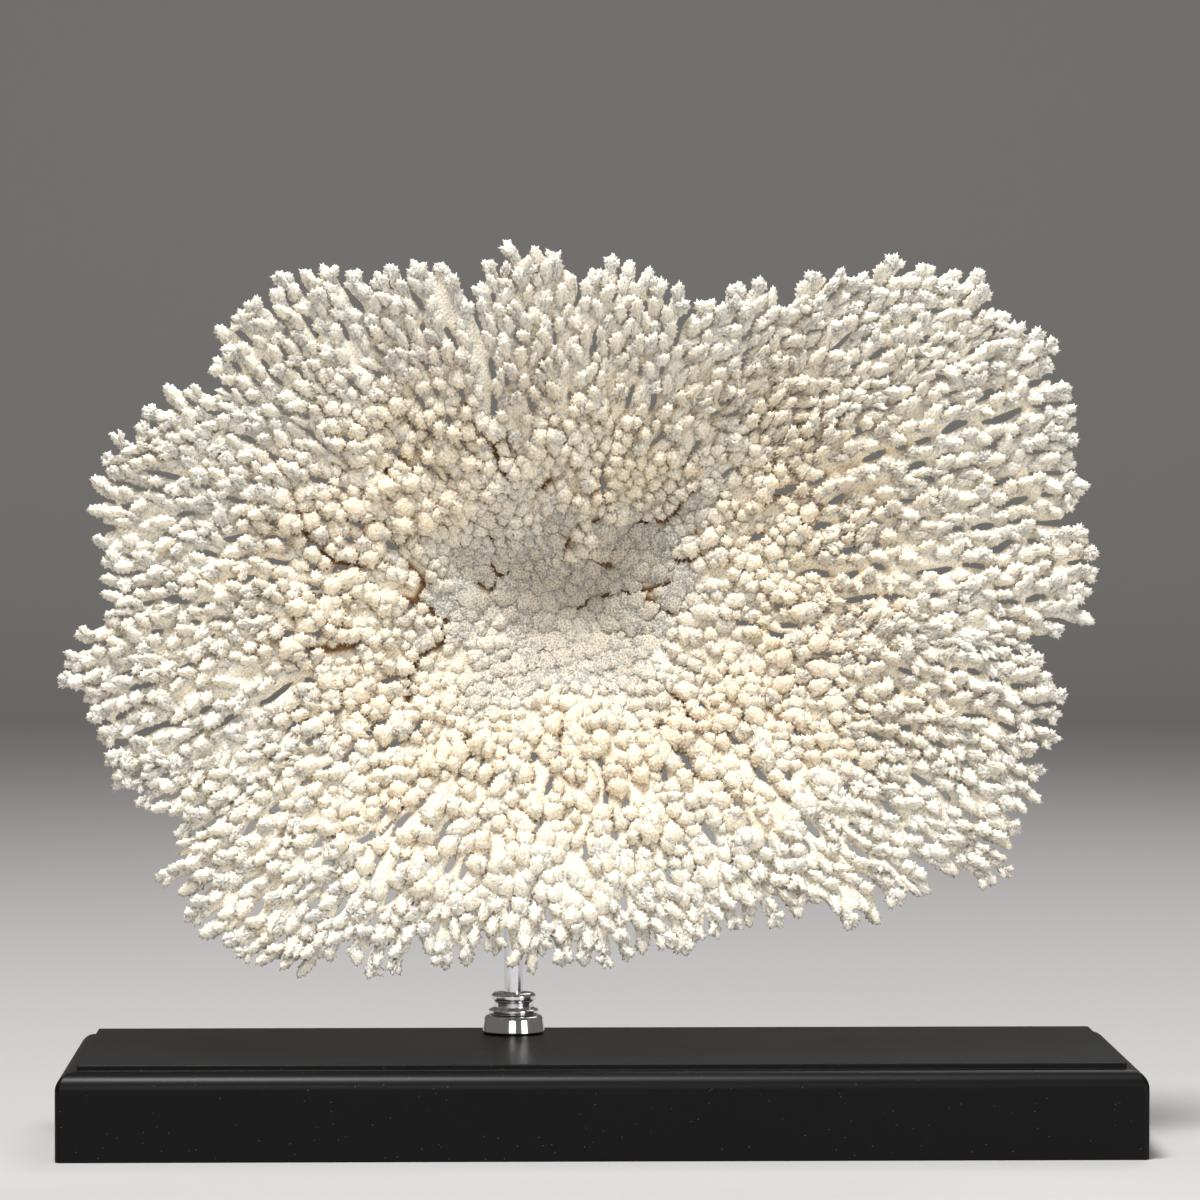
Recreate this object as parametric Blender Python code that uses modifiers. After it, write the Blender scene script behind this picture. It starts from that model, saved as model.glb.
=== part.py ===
"""A table coral skeleton held upright on a rod above a black moulded plinth.

Metres, +Z up. The origin is the middle of the plinth's underside. The coral's face looks
along -Y, and the rod stands behind it.
"""

import math
import random

import bmesh
import bpy
import numpy as np
from mathutils import Vector

# Plinth
PLINTH_WIDTH = 0.550
PLINTH_DEPTH = 0.205
SLAB_HEIGHT = 0.045
OVOLO_RADIUS = 0.0095
PANEL_INSET = 0.0105
PANEL_RISE = 0.003
FOOT_CHAMFER = 0.0008
PANEL_ROUND = 0.0006

# Rod and its chrome foot
ROD_X = -0.0435
ROD_Y = 0.063
ROD_RADIUS = 0.005
ROD_TOP = 0.256
ROD_CHAMFER = 0.0006
FLANGE_HEIGHT = 0.0095
TOUCH_GAP = 0.0003
ROUND_STEPS = 24

# Outlines of the flange and the collar: radius, and height above what they rest on
FLANGE_OUTLINE = [
    (0.0132, FLANGE_HEIGHT), (0.0148, 0.0090), (0.0154, 0.0078), (0.0160, 0.0040),
    (0.0165, 0.0008), (0.0162, 0.0),
]
COLLAR_OUTLINE = [
    (0.0105, 0.0115), (0.0117, 0.0103), (0.0117, 0.0079), (0.0105, 0.0069),
    (0.0105, 0.0038), (0.0132, 0.0026), (0.0132, 0.0006), (0.0126, 0.0),
]

# Outline of the coral plate, seen face on: tips of the branches, clockwise from the top
RIM = [
    (-0.046, 0.460), (-0.030, 0.461), (-0.008, 0.456), (0.020, 0.454), (0.034, 0.442),
    (0.060, 0.436), (0.072, 0.441), (0.092, 0.444), (0.097, 0.430), (0.107, 0.442),
    (0.124, 0.452), (0.140, 0.453), (0.160, 0.456), (0.180, 0.449), (0.202, 0.446),
    (0.211, 0.435), (0.212, 0.426), (0.230, 0.422), (0.240, 0.402), (0.245, 0.375),
    (0.247, 0.345), (0.251, 0.310), (0.252, 0.285), (0.249, 0.264), (0.224, 0.253),
    (0.234, 0.236), (0.234, 0.216), (0.229, 0.194), (0.219, 0.170), (0.210, 0.148),
    (0.196, 0.137), (0.174, 0.134), (0.152, 0.127), (0.135, 0.116), (0.107, 0.118),
    (0.079, 0.113), (0.059, 0.104), (0.028, 0.103), (-0.002, 0.098), (-0.031, 0.099),
    (-0.062, 0.097), (-0.099, 0.095), (-0.138, 0.090), (-0.168, 0.097), (-0.194, 0.107),
    (-0.209, 0.120), (-0.224, 0.142), (-0.212, 0.160), (-0.241, 0.172), (-0.246, 0.197),
    (-0.261, 0.216), (-0.274, 0.239), (-0.271, 0.255), (-0.258, 0.272), (-0.255, 0.298),
    (-0.263, 0.323), (-0.257, 0.348), (-0.247, 0.368), (-0.232, 0.382), (-0.212, 0.388),
    (-0.196, 0.396), (-0.199, 0.420), (-0.185, 0.435), (-0.162, 0.448), (-0.132, 0.453),
    (-0.112, 0.444), (-0.106, 0.458), (-0.089, 0.459), (-0.068, 0.440), (-0.058, 0.452),
]

# Where the main forks part the plate, as places in the list above
FANS = [
    ("fan_top", 68, 78),
    ("fan_upper_right", 8, 16),
    ("fan_right", 16, 24),
    ("fan_lower_right", 24, 32),
    ("fan_bottom_right", 32, 38),
    ("fan_bottom_left", 38, 43),
    ("fan_lower_left", 43, 47),
    ("fan_left", 47, 53),
    ("fan_upper_left", 53, 60),
    ("fan_top_left", 60, 68),
]

# Dish of the plate: the hub lies deepest, and the lower rim comes furthest forward
HUB = Vector((-0.014, 0.045, 0.275))
HUB_REACH = 0.052
HUB_LOBES = 3
HUB_LOBE_SHARE = 0.14
HUB_DENT = 0.0012
RIM_LIFT = 0.185
RIM_DEPTH = -0.028
RIM_LEAN = 0.028
RIM_HANG = 0.020
DISH_POWER_TOP = 1.8
DISH_POWER_BOTTOM = 1.25
DISH_HALF_WIDTH = 0.262
DISH_HALF_HEIGHT = 0.180
DISH_SQUARENESS = 4.0
DISH_FLOOR = 0.10
WAVE_HEIGHT = 0.003
WAVES_AROUND = 9

# Sideways bow of the branches on their way out, by compass direction in degrees from +X
BOW_DIRECTIONS = [0, 30, 52, 90, 127, 158, 182, 202, 225, 270, 312, 335, 360]
BOW_SHARES = [0.02, 0.10, 0.05, 0.0, 0.08, -0.03, -0.08, -0.06, 0.0, 0.0, 0.07, 0.08, 0.02]

# Branches, knobs and gaps
FINGER_PITCH = 0.0098
ROWS = 12
FIRST_FORK_ROW = 3
SECOND_FORK_ROW = 7
PLATE_THICKNESS = 0.0075
HUB_THICKNESS = 0.016
KNOB_HEIGHT = 0.0052
KNOB_EXTRA_INNER = 0.0007
KNOB_LEAN = 0.4
RIDGE_HEIGHT = 0.0028
FINGER_GAP = 0.0026
FINGER_CUT = 0.007
FINGER_TAPER = 0.0016
SLOT_WIDTH = 0.0034
SLOT_SHARE = 0.34
FAN_GAP = 0.0006
FAN_GAP_AT_RIM = 0.0024
PLACE_STEP = 0.05
SEED = 11

# Stalk behind the hub, cut off flat where it grew on the rock
STALK_X = -0.030
STALK_Z = 0.262
STALK_HALF_WIDTH = 0.047
STALK_HALF_HEIGHT = 0.039
STALK_CUT_Y = 0.097
STALK_FLUTES = 7
STALK_FLUTE_DEPTH = 0.045
HOLE_CLEARANCE = 0.0004
DRILL_LENGTH = 0.120

# Rings of the stalk from its neck to the cut: depth, and share of its half widths
STALK_RINGS = [(0.066, 0.86), (0.087, 0.94), (STALK_CUT_Y, 0.97)]
SHOULDER_SHARE = 0.55
SHOULDER_SWELL = 0.004
FACE_RINGS = 3


def clear_scene():
    """Removes what the startup file put in the scene."""
    for item in list(bpy.data.objects):
        bpy.data.objects.remove(item, do_unlink=True)


def new_collection(name):
    """Makes a collection in the scene."""
    collection = bpy.data.collections.new(name)
    bpy.context.scene.collection.children.link(collection)
    return collection


def new_material(name, colour, roughness, metallic=0.0):
    """Makes a plain Principled material."""
    material = bpy.data.materials.new(name)
    material.use_nodes = True
    shader = material.node_tree.nodes["Principled BSDF"]
    shader.inputs["Base Color"].default_value = (*colour, 1.0)
    shader.inputs["Roughness"].default_value = roughness
    shader.inputs["Metallic"].default_value = metallic
    return material


def add_object(name, mesh, collection, material=None):
    """Puts a mesh in the scene under a name."""
    piece = bpy.data.objects.new(name, mesh)
    collection.objects.link(piece)
    if material is not None:
        mesh.materials.append(material)
    return piece


def mesh_from(bm, name):
    """Turns an edited bmesh into a mesh with its faces pointing out."""
    bmesh.ops.recalc_face_normals(bm, faces=bm.faces)
    mesh = bpy.data.meshes.new(name)
    bm.to_mesh(mesh)
    bm.free()
    return mesh


# Stand

def plinth_profile():
    """Insets and heights up the plinth's edge, from the underside to the panel's top."""
    profile = [(0.0, FOOT_CHAMFER)]
    arc_steps = 6
    for step in range(arc_steps + 1):
        angle = math.radians(90.0) * step / arc_steps
        inset = OVOLO_RADIUS * (1.0 - math.cos(angle))
        height = SLAB_HEIGHT - OVOLO_RADIUS * (1.0 - math.sin(angle))
        profile.append((inset, height))
    panel_top = SLAB_HEIGHT + PANEL_RISE
    profile.append((PANEL_INSET, SLAB_HEIGHT))
    profile.append((PANEL_INSET, panel_top - PANEL_ROUND))
    profile.append((PANEL_INSET + PANEL_ROUND, panel_top))
    return profile


def make_plinth(collection, material):
    """Raises the plinth from its underside, one inset and extrusion at a time."""
    bm = bmesh.new()
    bmesh.ops.create_grid(bm, x_segments=1, y_segments=1, size=1.0)
    for vertex in bm.verts:
        half_width = PLINTH_WIDTH / 2 - FOOT_CHAMFER
        half_depth = PLINTH_DEPTH / 2 - FOOT_CHAMFER
        vertex.co = Vector((vertex.co.x * half_width, vertex.co.y * half_depth, 0.0))
    top = bm.faces[:]
    for inset, height in plinth_profile():
        covered = top if len(bm.faces) > 1 else []
        raised = bmesh.ops.extrude_face_region(bm, geom=top, use_keep_orig=True)
        top = [item for item in raised["geom"] if isinstance(item, bmesh.types.BMFace)]
        bmesh.ops.delete(bm, geom=covered, context="FACES_ONLY")
        for item in raised["geom"]:
            if isinstance(item, bmesh.types.BMVert):
                item.co.x = math.copysign(PLINTH_WIDTH / 2 - inset, item.co.x)
                item.co.y = math.copysign(PLINTH_DEPTH / 2 - inset, item.co.y)
                item.co.z = height
    return add_object("plinth", mesh_from(bm, "plinth"), collection, material)


def turned_piece(name, profile, collection, material):
    """Turns an open profile, which starts and ends on the rod's axis or on its bore."""
    bm = bmesh.new()
    corners = [bm.verts.new((radius, 0.0, height)) for radius, height in profile]
    for lower, upper in zip(corners, corners[1:]):
        bm.edges.new((lower, upper))
    if profile[0][0] > 0.0:
        bm.edges.new((corners[-1], corners[0]))
    mesh = bpy.data.meshes.new(name)
    bm.to_mesh(mesh)
    bm.free()
    piece = add_object(name, mesh, collection, material)
    piece.location = (ROD_X, ROD_Y, 0.0)
    screw = piece.modifiers.new("turn", "SCREW")
    screw.axis = "Z"
    screw.steps = ROUND_STEPS
    screw.render_steps = ROUND_STEPS
    screw.use_merge_vertices = True
    screw.merge_threshold = 0.00001
    return piece


def make_rod_and_foot(collection, material):
    """The flange on the plinth, the stepped collar over it and the rod that they hold."""
    bore = ROD_RADIUS + TOUCH_GAP
    floor = SLAB_HEIGHT + PANEL_RISE + TOUCH_GAP
    collar_base = floor + FLANGE_HEIGHT + TOUCH_GAP
    for name, outline, base in (
            ("flange", FLANGE_OUTLINE, floor), ("collar", COLLAR_OUTLINE, collar_base)):
        profile = [(bore, base + outline[0][1])]
        profile += [(radius, base + height) for radius, height in outline]
        profile.append((bore, base))
        turned_piece(name, profile, collection, material)
    rod = [
        (0.0, ROD_TOP), (ROD_RADIUS - ROD_CHAMFER, ROD_TOP), (ROD_RADIUS, ROD_TOP - ROD_CHAMFER),
        (ROD_RADIUS, floor), (0.0, floor),
    ]
    turned_piece("rod", rod, collection, material)


# Plate surface, shared by the hub and the fans

def closed_spline(points, place):
    """A point on the smooth closed curve through points, at a place counted in points."""
    index = math.floor(place)
    part = place - index
    before, here, after, beyond = (points[(index + step) % len(points)] for step in (-1, 0, 1, 2))
    result = []
    for a, b, c, d in zip(before, here, after, beyond):
        slope_in = 0.5 * (c - a)
        slope_out = 0.5 * (d - b)
        cubic = 2 * b - 2 * c + slope_in + slope_out
        square = -3 * b + 3 * c - 2 * slope_in - slope_out
        result.append(((cubic * part + square) * part + slope_in) * part + b)
    return result


def dish_depth(x, z):
    """How far back the plate's face lies: a dish, as wide and high as a rounded rectangle."""
    compass = math.atan2(z - HUB.z, x - HUB.x)
    wide = abs(math.cos(compass)) / DISH_HALF_WIDTH
    high = abs(math.sin(compass)) / DISH_HALF_HEIGHT
    reach = (wide ** DISH_SQUARENESS + high ** DISH_SQUARENESS) ** (-1.0 / DISH_SQUARENESS)
    lift = math.sin(compass) * reach / RIM_LIFT
    hang = min(lift, 0.0)
    rim_y = RIM_DEPTH + RIM_LEAN * lift - RIM_HANG * hang * hang
    upper = 0.5 + 0.5 * math.sin(compass)
    power = DISH_POWER_BOTTOM + (DISH_POWER_TOP - DISH_POWER_BOTTOM) * upper
    share = math.hypot(x - HUB.x, z - HUB.z) / reach
    softened = share * math.tanh(share / DISH_FLOOR)
    rise = 1.0 - max(0.0, 1.0 - softened) ** power
    wave = WAVE_HEIGHT * math.sin(compass * WAVES_AROUND) * share * share
    return HUB.y + (rim_y - HUB.y) * rise + wave


def rim_point(place):
    """Where a branch ends, at a place on the outline."""
    x, z = closed_spline(RIM, place)
    return Vector((x, dish_depth(x, z), z))


def plate_point(place, share):
    """A point on the plate's face, at a place around it and a share of the way out."""
    rim = rim_point(place)
    spoke_x = rim.x - HUB.x
    spoke_z = rim.z - HUB.z
    compass = math.degrees(math.atan2(spoke_z, spoke_x)) % 360.0
    bow = float(np.interp(compass, BOW_DIRECTIONS, BOW_SHARES))
    bend = 2.0 * share * (1.0 - share) * bow
    x = HUB.x + share * spoke_x - bend * spoke_z
    z = HUB.z + share * spoke_z + bend * spoke_x
    return Vector((x, dish_depth(x, z), z))


def hub_share(place):
    """The share of the way out at which the hub ends and the fans begin."""
    rim = rim_point(place)
    angle = math.atan2(rim.z - HUB.z, rim.x - HUB.x)
    reach = HUB_REACH * (1.0 + HUB_LOBE_SHARE * math.sin(HUB_LOBES * angle))
    return reach / math.hypot(rim.x - HUB.x, rim.z - HUB.z)


def fan_point(place, row):
    """A point on a fan's face, its row counted from the hub out to the tips."""
    start = hub_share(place)
    return plate_point(place, start + (1.0 - start) * row / ROWS)


def outline_length(start, end):
    """The length of the outline between two places."""
    steps = 8 * (end - start)
    points = [rim_point(start + step / 8) for step in range(steps + 1)]
    return sum((after - before).length for before, after in zip(points, points[1:]))


def inner_columns(start, end):
    """How many branches leave the hub in a fan. Each forks twice on its way out."""
    return max(3, round(outline_length(start, end) / (4 * FINGER_PITCH)))


# Fans

def place_of(vertex, start, end, columns):
    """Where a vertex of the flat sheet is around the plate."""
    return start + (end - start) * vertex.co.x / columns


def sheet_of_branches(columns):
    """A flat sheet, one unit a branch and a row, with the branches forked twice."""
    bm = bmesh.new()
    bmesh.ops.create_grid(bm, x_segments=columns, y_segments=ROWS, size=1.0)
    for vertex in bm.verts:
        vertex.co.x = round((vertex.co.x + 1.0) / 2.0 * columns)
        vertex.co.y = round((vertex.co.y + 1.0) / 2.0 * ROWS)
    for fork_row in (FIRST_FORK_ROW, SECOND_FORK_ROW):
        rungs = []
        for edge in bm.edges:
            low, high = edge.verts
            if abs(low.co.y - high.co.y) < 0.1 and low.co.y > fork_row - 0.1:
                rungs.append(edge)
        bmesh.ops.subdivide_edges(bm, edges=rungs, cuts=1, use_grid_fill=True)
    return bm


def cut_slots_and_fingers(bm, columns, chance):
    """Parts the sheet between the branches: slots in it, and free fingers at the rim."""
    at = {(round(4 * v.co.x), round(v.co.y)): v for v in bm.verts}
    cuts = []
    widths = {}

    def cut(column, first, last):
        for row in range(first, last):
            cuts.append(bm.edges.get((at[(column, row)], at[(column, row + 1)])))

    for column in range(1, 4 * columns):
        finger_rows = chance.choice((1, 1, 2))
        cut(column, ROWS - finger_rows, ROWS)
        widths[(column, ROWS)] = FINGER_GAP
        if finger_rows == 2:
            widths[(column, ROWS - 1)] = FINGER_GAP * 0.6
        slot_row = chance.choice((SECOND_FORK_ROW, SECOND_FORK_ROW + 1))
        free_rows = ROWS - finger_rows - slot_row
        if column % 2 and free_rows > 2 and chance.random() < 2 * SLOT_SHARE:
            cut(column, slot_row, slot_row + 2)
            widths[(column, slot_row + 1)] = SLOT_WIDTH
    bmesh.ops.split_edges(bm, edges=cuts)
    return widths


def side_of(vertex):
    """Which way a cut vertex moves, towards its own faces: -1, 1, or 0 for no way."""
    middle = sum(face.calc_center_median().x for face in vertex.link_faces)
    offset = middle / len(vertex.link_faces) - vertex.co.x
    if abs(offset) < 0.01:
        return 0
    return int(math.copysign(1, offset))


def shape_vertex(vertex, start, end, columns, widths, finger_cuts):
    """Where a vertex of the flat sheet goes on the plate's face and back, and its knob."""
    column = round(4 * vertex.co.x)
    row = round(vertex.co.y)
    place = place_of(vertex, start, end, columns)
    side = side_of(vertex)
    after = fan_point(place + PLACE_STEP, row)
    before = fan_point(place - PLACE_STEP, row)
    across = (after - before).normalized()
    inwards = (fan_point(place, row - 0.5) - fan_point(place, row)).normalized()
    point = fan_point(place, row)
    out = row / ROWS
    on_edge = column in (0, 4 * columns)
    if on_edge:
        point += across * side * 0.5 * (FAN_GAP + (FAN_GAP_AT_RIM - FAN_GAP) * out ** 3)
    elif (column, row) in widths:
        point += across * side * 0.5 * widths[(column, row)]
    if row == 0:
        point -= inwards * FAN_GAP
    if row == ROWS:
        finger = column if side > 0 else column - 1
        point += inwards * finger_cuts[finger]
        point += across * side * FINGER_TAPER / 2

    pitch = 1 if row >= SECOND_FORK_ROW else (2 if row >= FIRST_FORK_ROW else 4)
    is_knob = (column // pitch + row) % 2 == 0 and not on_edge and 0 < row < ROWS
    knob = KNOB_HEIGHT + KNOB_EXTRA_INNER * (pitch - 1) if is_knob and side == 0 else 0.0
    if row == ROWS:
        knob = KNOB_LEAN * KNOB_HEIGHT
    thickness = PLATE_THICKNESS + (HUB_THICKNESS - PLATE_THICKNESS) * (1.0 - out) ** 2
    if (column // pitch) % 2 == 0 and 0 < row < ROWS and not on_edge:
        thickness += RIDGE_HEIGHT
    face = point + Vector((0.0, -knob, 0.0)) - inwards * knob * KNOB_LEAN
    back = point + Vector((0.0, thickness, 0.0))
    return face, back, knob


def split_between_knobs(bm, shapes):
    """Parts each square along the corners that carry no knob, so the knobs stand alone."""
    numbered = bm.verts.layers.int.new("number")
    for number, vertex in enumerate(bm.verts):
        vertex[numbered] = number
    for face in list(bm.faces):
        if len(face.verts) == 4:
            a, b, c, d = face.verts
            knobs = [shapes[corner[numbered]][2] for corner in (a, b, c, d)]
            low, high = (a, c) if knobs[0] + knobs[2] < knobs[1] + knobs[3] else (b, d)
            bmesh.utils.face_split(face, low, high)
    return numbered


def make_fan(name, start, end, collection, material):
    """A fan of fused branches: thick ridges behind, knobs in front, fingers at the rim."""
    columns = inner_columns(start, end)
    chance = random.Random(f"{SEED} {name}")
    bm = sheet_of_branches(columns)
    widths = cut_slots_and_fingers(bm, columns, chance)
    finger_cuts = [chance.uniform(0.0, FINGER_CUT) for _ in range(4 * columns)]
    shapes = []
    for vertex in bm.verts:
        shapes.append(shape_vertex(vertex, start, end, columns, widths, finger_cuts))
    numbered = split_between_knobs(bm, shapes)
    fronts = list(bm.verts)
    extruded = bmesh.ops.extrude_face_region(bm, geom=list(bm.faces), use_keep_orig=True)
    backs = [item for item in extruded["geom"] if isinstance(item, bmesh.types.BMVert)]
    for vertex in backs:
        vertex.co = shapes[vertex[numbered]][1]
    for vertex in fronts:
        vertex.co = shapes[vertex[numbered]][0]
    return add_object(name, mesh_from(bm, name), collection, material)


# Hub and stalk

def hub_places():
    """Places around the plate where the fans' inner branches meet the hub."""
    places = []
    for _, start, end in FANS:
        columns = inner_columns(start, end)
        places.extend(start + (end - start) * column / columns for column in range(columns))
    return places


def stalk_point(place, depth, swell):
    """A point around the stalk, at a depth from the plate back to the cut."""
    edge = plate_point(place, hub_share(place))
    angle = math.atan2(edge.z - HUB.z, edge.x - HUB.x)
    flute = 1.0 + STALK_FLUTE_DEPTH * math.cos(STALK_FLUTES * angle)
    x = STALK_X + STALK_HALF_WIDTH * swell * flute * math.cos(angle)
    z = STALK_Z + STALK_HALF_HEIGHT * swell * flute * math.sin(angle)
    return Vector((x, depth, z))


def hub_ring(ring, place):
    """A point on one of the rings of the hub, from its face round to the flat cut."""
    edge_share = hub_share(place)
    if ring < FACE_RINGS:
        point = plate_point(place, edge_share * (ring + 1) / (FACE_RINGS + 1))
        dent = HUB_DENT if (round(place) // 2 + ring) % 2 else -HUB_DENT
        return point + Vector((0.0, dent, 0.0))
    edge = plate_point(place, edge_share)
    back = edge + Vector((0.0, HUB_THICKNESS, 0.0))
    neck = stalk_point(place, *STALK_RINGS[0])
    shoulder = back.lerp(neck, SHOULDER_SHARE) + Vector((0.0, SHOULDER_SWELL, 0.0))
    stalk = [stalk_point(place, depth, swell) for depth, swell in STALK_RINGS]
    return [edge, back, shoulder, *stalk][ring - FACE_RINGS]


def make_hub(collection, cutters, material):
    """The middle of the plate and the stalk behind it, drilled from below for the rod."""
    places = hub_places()
    rings = FACE_RINGS + 3 + len(STALK_RINGS)
    bm = bmesh.new()
    bmesh.ops.create_uvsphere(bm, u_segments=len(places), v_segments=rings + 1, radius=1.0)
    for vertex in bm.verts:
        latitude = math.acos(max(-1.0, min(1.0, vertex.co.z)))
        ring = round(latitude / math.pi * (rings + 1)) - 1
        if ring < 0:
            vertex.co = HUB
        elif ring >= rings:
            vertex.co = Vector((STALK_X, STALK_CUT_Y, STALK_Z))
        else:
            turn = math.atan2(vertex.co.y, vertex.co.x) / (2.0 * math.pi)
            column = round(turn * len(places)) % len(places)
            vertex.co = hub_ring(ring, places[column])
    hub = add_object("coral_hub", mesh_from(bm, "coral_hub"), collection, material)

    hole = bmesh.new()
    bmesh.ops.create_cone(
        hole, cap_ends=True, segments=ROUND_STEPS, radius1=ROD_RADIUS + HOLE_CLEARANCE,
        radius2=ROD_RADIUS + HOLE_CLEARANCE, depth=DRILL_LENGTH)
    drill = add_object("drill", mesh_from(hole, "drill"), cutters)
    drill.location = (ROD_X, ROD_Y, ROD_TOP + HOLE_CLEARANCE - DRILL_LENGTH / 2)
    drill.hide_render = True
    drill.display_type = "WIRE"
    cut = hub.modifiers.new("rod hole", "BOOLEAN")
    cut.operation = "DIFFERENCE"
    cut.object = drill
    return hub


def main():
    clear_scene()
    collection = new_collection("table_coral")
    cutters = new_collection("cutters")
    black = new_material("black_paint", (0.012, 0.012, 0.013), 0.35)
    chrome = new_material("chrome", (0.80, 0.80, 0.82), 0.08, metallic=1.0)
    ivory = new_material("ivory_coral", (0.84, 0.79, 0.68), 0.75)
    make_plinth(collection, black)
    make_rod_and_foot(collection, chrome)
    make_hub(collection, cutters, ivory)
    for name, start, end in FANS:
        make_fan(name, start, end, collection, ivory)


main()
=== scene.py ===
"""The looks of a table coral skeleton on its black display plinth.

Branches are followed outwards over a dished plate, forking where they spread. The plate is
a lattice in the picture plane, ridged along the branches and open in gaps between them.
Its middle is cracked and covered in low pads, with upright knobs around them. Further out
each branch carries a row of leaning fingers. Pads, knobs and fingers are covered in small
pointed cups. All of it is parted into the hub, with the stalk behind it, and the fans.
Metres, +Z up, +Y into the picture.
"""

import math
import random
from types import SimpleNamespace

import bmesh
import bpy
import numpy as np
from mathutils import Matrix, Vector


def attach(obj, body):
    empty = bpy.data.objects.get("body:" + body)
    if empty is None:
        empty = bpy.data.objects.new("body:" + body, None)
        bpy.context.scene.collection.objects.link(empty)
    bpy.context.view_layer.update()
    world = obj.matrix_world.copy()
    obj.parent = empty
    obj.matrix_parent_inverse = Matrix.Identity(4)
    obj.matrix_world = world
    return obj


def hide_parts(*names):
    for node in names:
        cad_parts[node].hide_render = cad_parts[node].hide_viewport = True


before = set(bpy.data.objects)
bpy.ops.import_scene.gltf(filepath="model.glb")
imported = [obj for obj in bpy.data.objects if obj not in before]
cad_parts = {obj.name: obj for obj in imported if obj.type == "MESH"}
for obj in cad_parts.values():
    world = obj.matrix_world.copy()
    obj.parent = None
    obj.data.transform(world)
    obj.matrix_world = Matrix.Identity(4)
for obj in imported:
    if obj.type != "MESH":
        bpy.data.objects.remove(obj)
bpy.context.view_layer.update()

# Outline of the coral plate, seen face on: tips of the branches, clockwise from the top
RIM = [
    (-0.046, 0.460), (-0.030, 0.461), (-0.008, 0.456), (0.020, 0.454), (0.034, 0.442),
    (0.060, 0.436), (0.072, 0.441), (0.092, 0.444), (0.097, 0.430), (0.107, 0.442),
    (0.124, 0.452), (0.140, 0.453), (0.160, 0.456), (0.180, 0.449), (0.202, 0.446),
    (0.211, 0.435), (0.212, 0.426), (0.230, 0.422), (0.240, 0.402), (0.245, 0.375),
    (0.247, 0.345), (0.251, 0.310), (0.252, 0.285), (0.249, 0.264), (0.224, 0.253),
    (0.234, 0.236), (0.234, 0.216), (0.229, 0.194), (0.219, 0.170), (0.210, 0.148),
    (0.196, 0.137), (0.174, 0.134), (0.152, 0.127), (0.135, 0.116), (0.107, 0.118),
    (0.079, 0.113), (0.059, 0.104), (0.028, 0.103), (-0.002, 0.098), (-0.031, 0.099),
    (-0.062, 0.097), (-0.099, 0.095), (-0.138, 0.090), (-0.168, 0.097), (-0.194, 0.107),
    (-0.209, 0.120), (-0.224, 0.142), (-0.212, 0.160), (-0.241, 0.172), (-0.246, 0.197),
    (-0.261, 0.216), (-0.274, 0.239), (-0.271, 0.255), (-0.258, 0.272), (-0.255, 0.298),
    (-0.263, 0.323), (-0.257, 0.348), (-0.247, 0.368), (-0.232, 0.382), (-0.212, 0.388),
    (-0.196, 0.396), (-0.199, 0.420), (-0.185, 0.435), (-0.162, 0.448), (-0.132, 0.453),
    (-0.112, 0.444), (-0.106, 0.458), (-0.089, 0.459), (-0.068, 0.440), (-0.058, 0.452),
]
FANS = [
    ("fan_top", 68), ("fan_upper_right", 78), ("fan_right", 86), ("fan_lower_right", 94),
    ("fan_bottom_right", 102), ("fan_bottom_left", 108), ("fan_lower_left", 113),
    ("fan_left", 117), ("fan_upper_left", 123), ("fan_top_left", 130),
]
HUB_PIECE = len(FANS)
RIM_STEP = 0.02

# Dish of the plate, as in the solids
HUB_X = -0.014
HUB_Y = 0.045
HUB_Z = 0.275
HUB_REACH = 0.052
HUB_LOBES = 3
HUB_LOBE_SHARE = 0.14
RIM_LIFT = 0.185
RIM_DEPTH = -0.028
RIM_LEAN = 0.028
RIM_HANG = 0.020
DISH_POWER_TOP = 1.8
DISH_POWER_BOTTOM = 1.25
DISH_HALF_WIDTH = 0.262
DISH_HALF_HEIGHT = 0.180
DISH_SQUARENESS = 4.0
DISH_FLOOR = 0.10
WAVE_HEIGHT = 0.003
WAVES_AROUND = 9
BOW_DIRECTIONS = [0, 30, 52, 90, 127, 158, 182, 202, 225, 270, 312, 335, 360]
BOW_SHARES = [0.02, 0.10, 0.05, 0.0, 0.08, -0.03, -0.08, -0.06, 0.0, 0.0, 0.07, 0.08, 0.02]

# Lattice in the picture plane
CELL = 0.00145
CELL_JITTER = 0.00012
GRID_LEFT = -0.285
GRID_RIGHT = 0.263
GRID_LOW = 0.084
GRID_HIGH = 0.470
LARGEST_SHARE = 1.15

# Branches, followed outwards in rows
FIRST_SHARE = 0.16
ROWS = 260
EDGE_GAP_ROW = 60
BRANCH_PITCH = 0.0087
FORK_LIMITS = (1.25, 1.60)
EDGE_LIMIT = 0.95
EDGE_PART = 0.72
FORK_PARTS = (0.42, 0.58)
RELAX = 0.020
WANDER = 0.0009
WANDER_WAVES = (0.0035, 0.0060)
WANDER_REACH = 0.230
EDGE_WANDER = 0.0022
EDGE_WAVES = ((0.011, 1.0), (0.0063, 0.6))
RIM_CUT = 0.009
BRANCH_DEPTH = 0.0012
TIP_RADIUS = 0.0022
TIP_SHARE = 0.46
TIP_ROOM = 0.0034
TIP_REACH = 0.0062

# Long waves that make the branches meander: wavelength, size, heading in degrees, phase
SWIRLS_X = [(0.058, 0.0016, 25, 0.4), (0.037, 0.0011, 100, 2.1), (0.023, 0.0006, 155, 4.0)]
SWIRLS_Z = [(0.054, 0.0016, 110, 5.2), (0.039, 0.0011, 10, 1.3), (0.022, 0.0006, 70, 3.3)]

# Slots between branches: half widths, lengths and the bridges from one to the next
SLOT_HALF_WIDTHS = (0.0011, 0.0019)
SLOT_LENGTHS = (0.006, 0.020)
SLOT_BRIDGES = (0.0025, 0.0060)
SLOT_LEVELS = (0.24, 0.56)
FIRST_BRIDGE = 0.004

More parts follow.
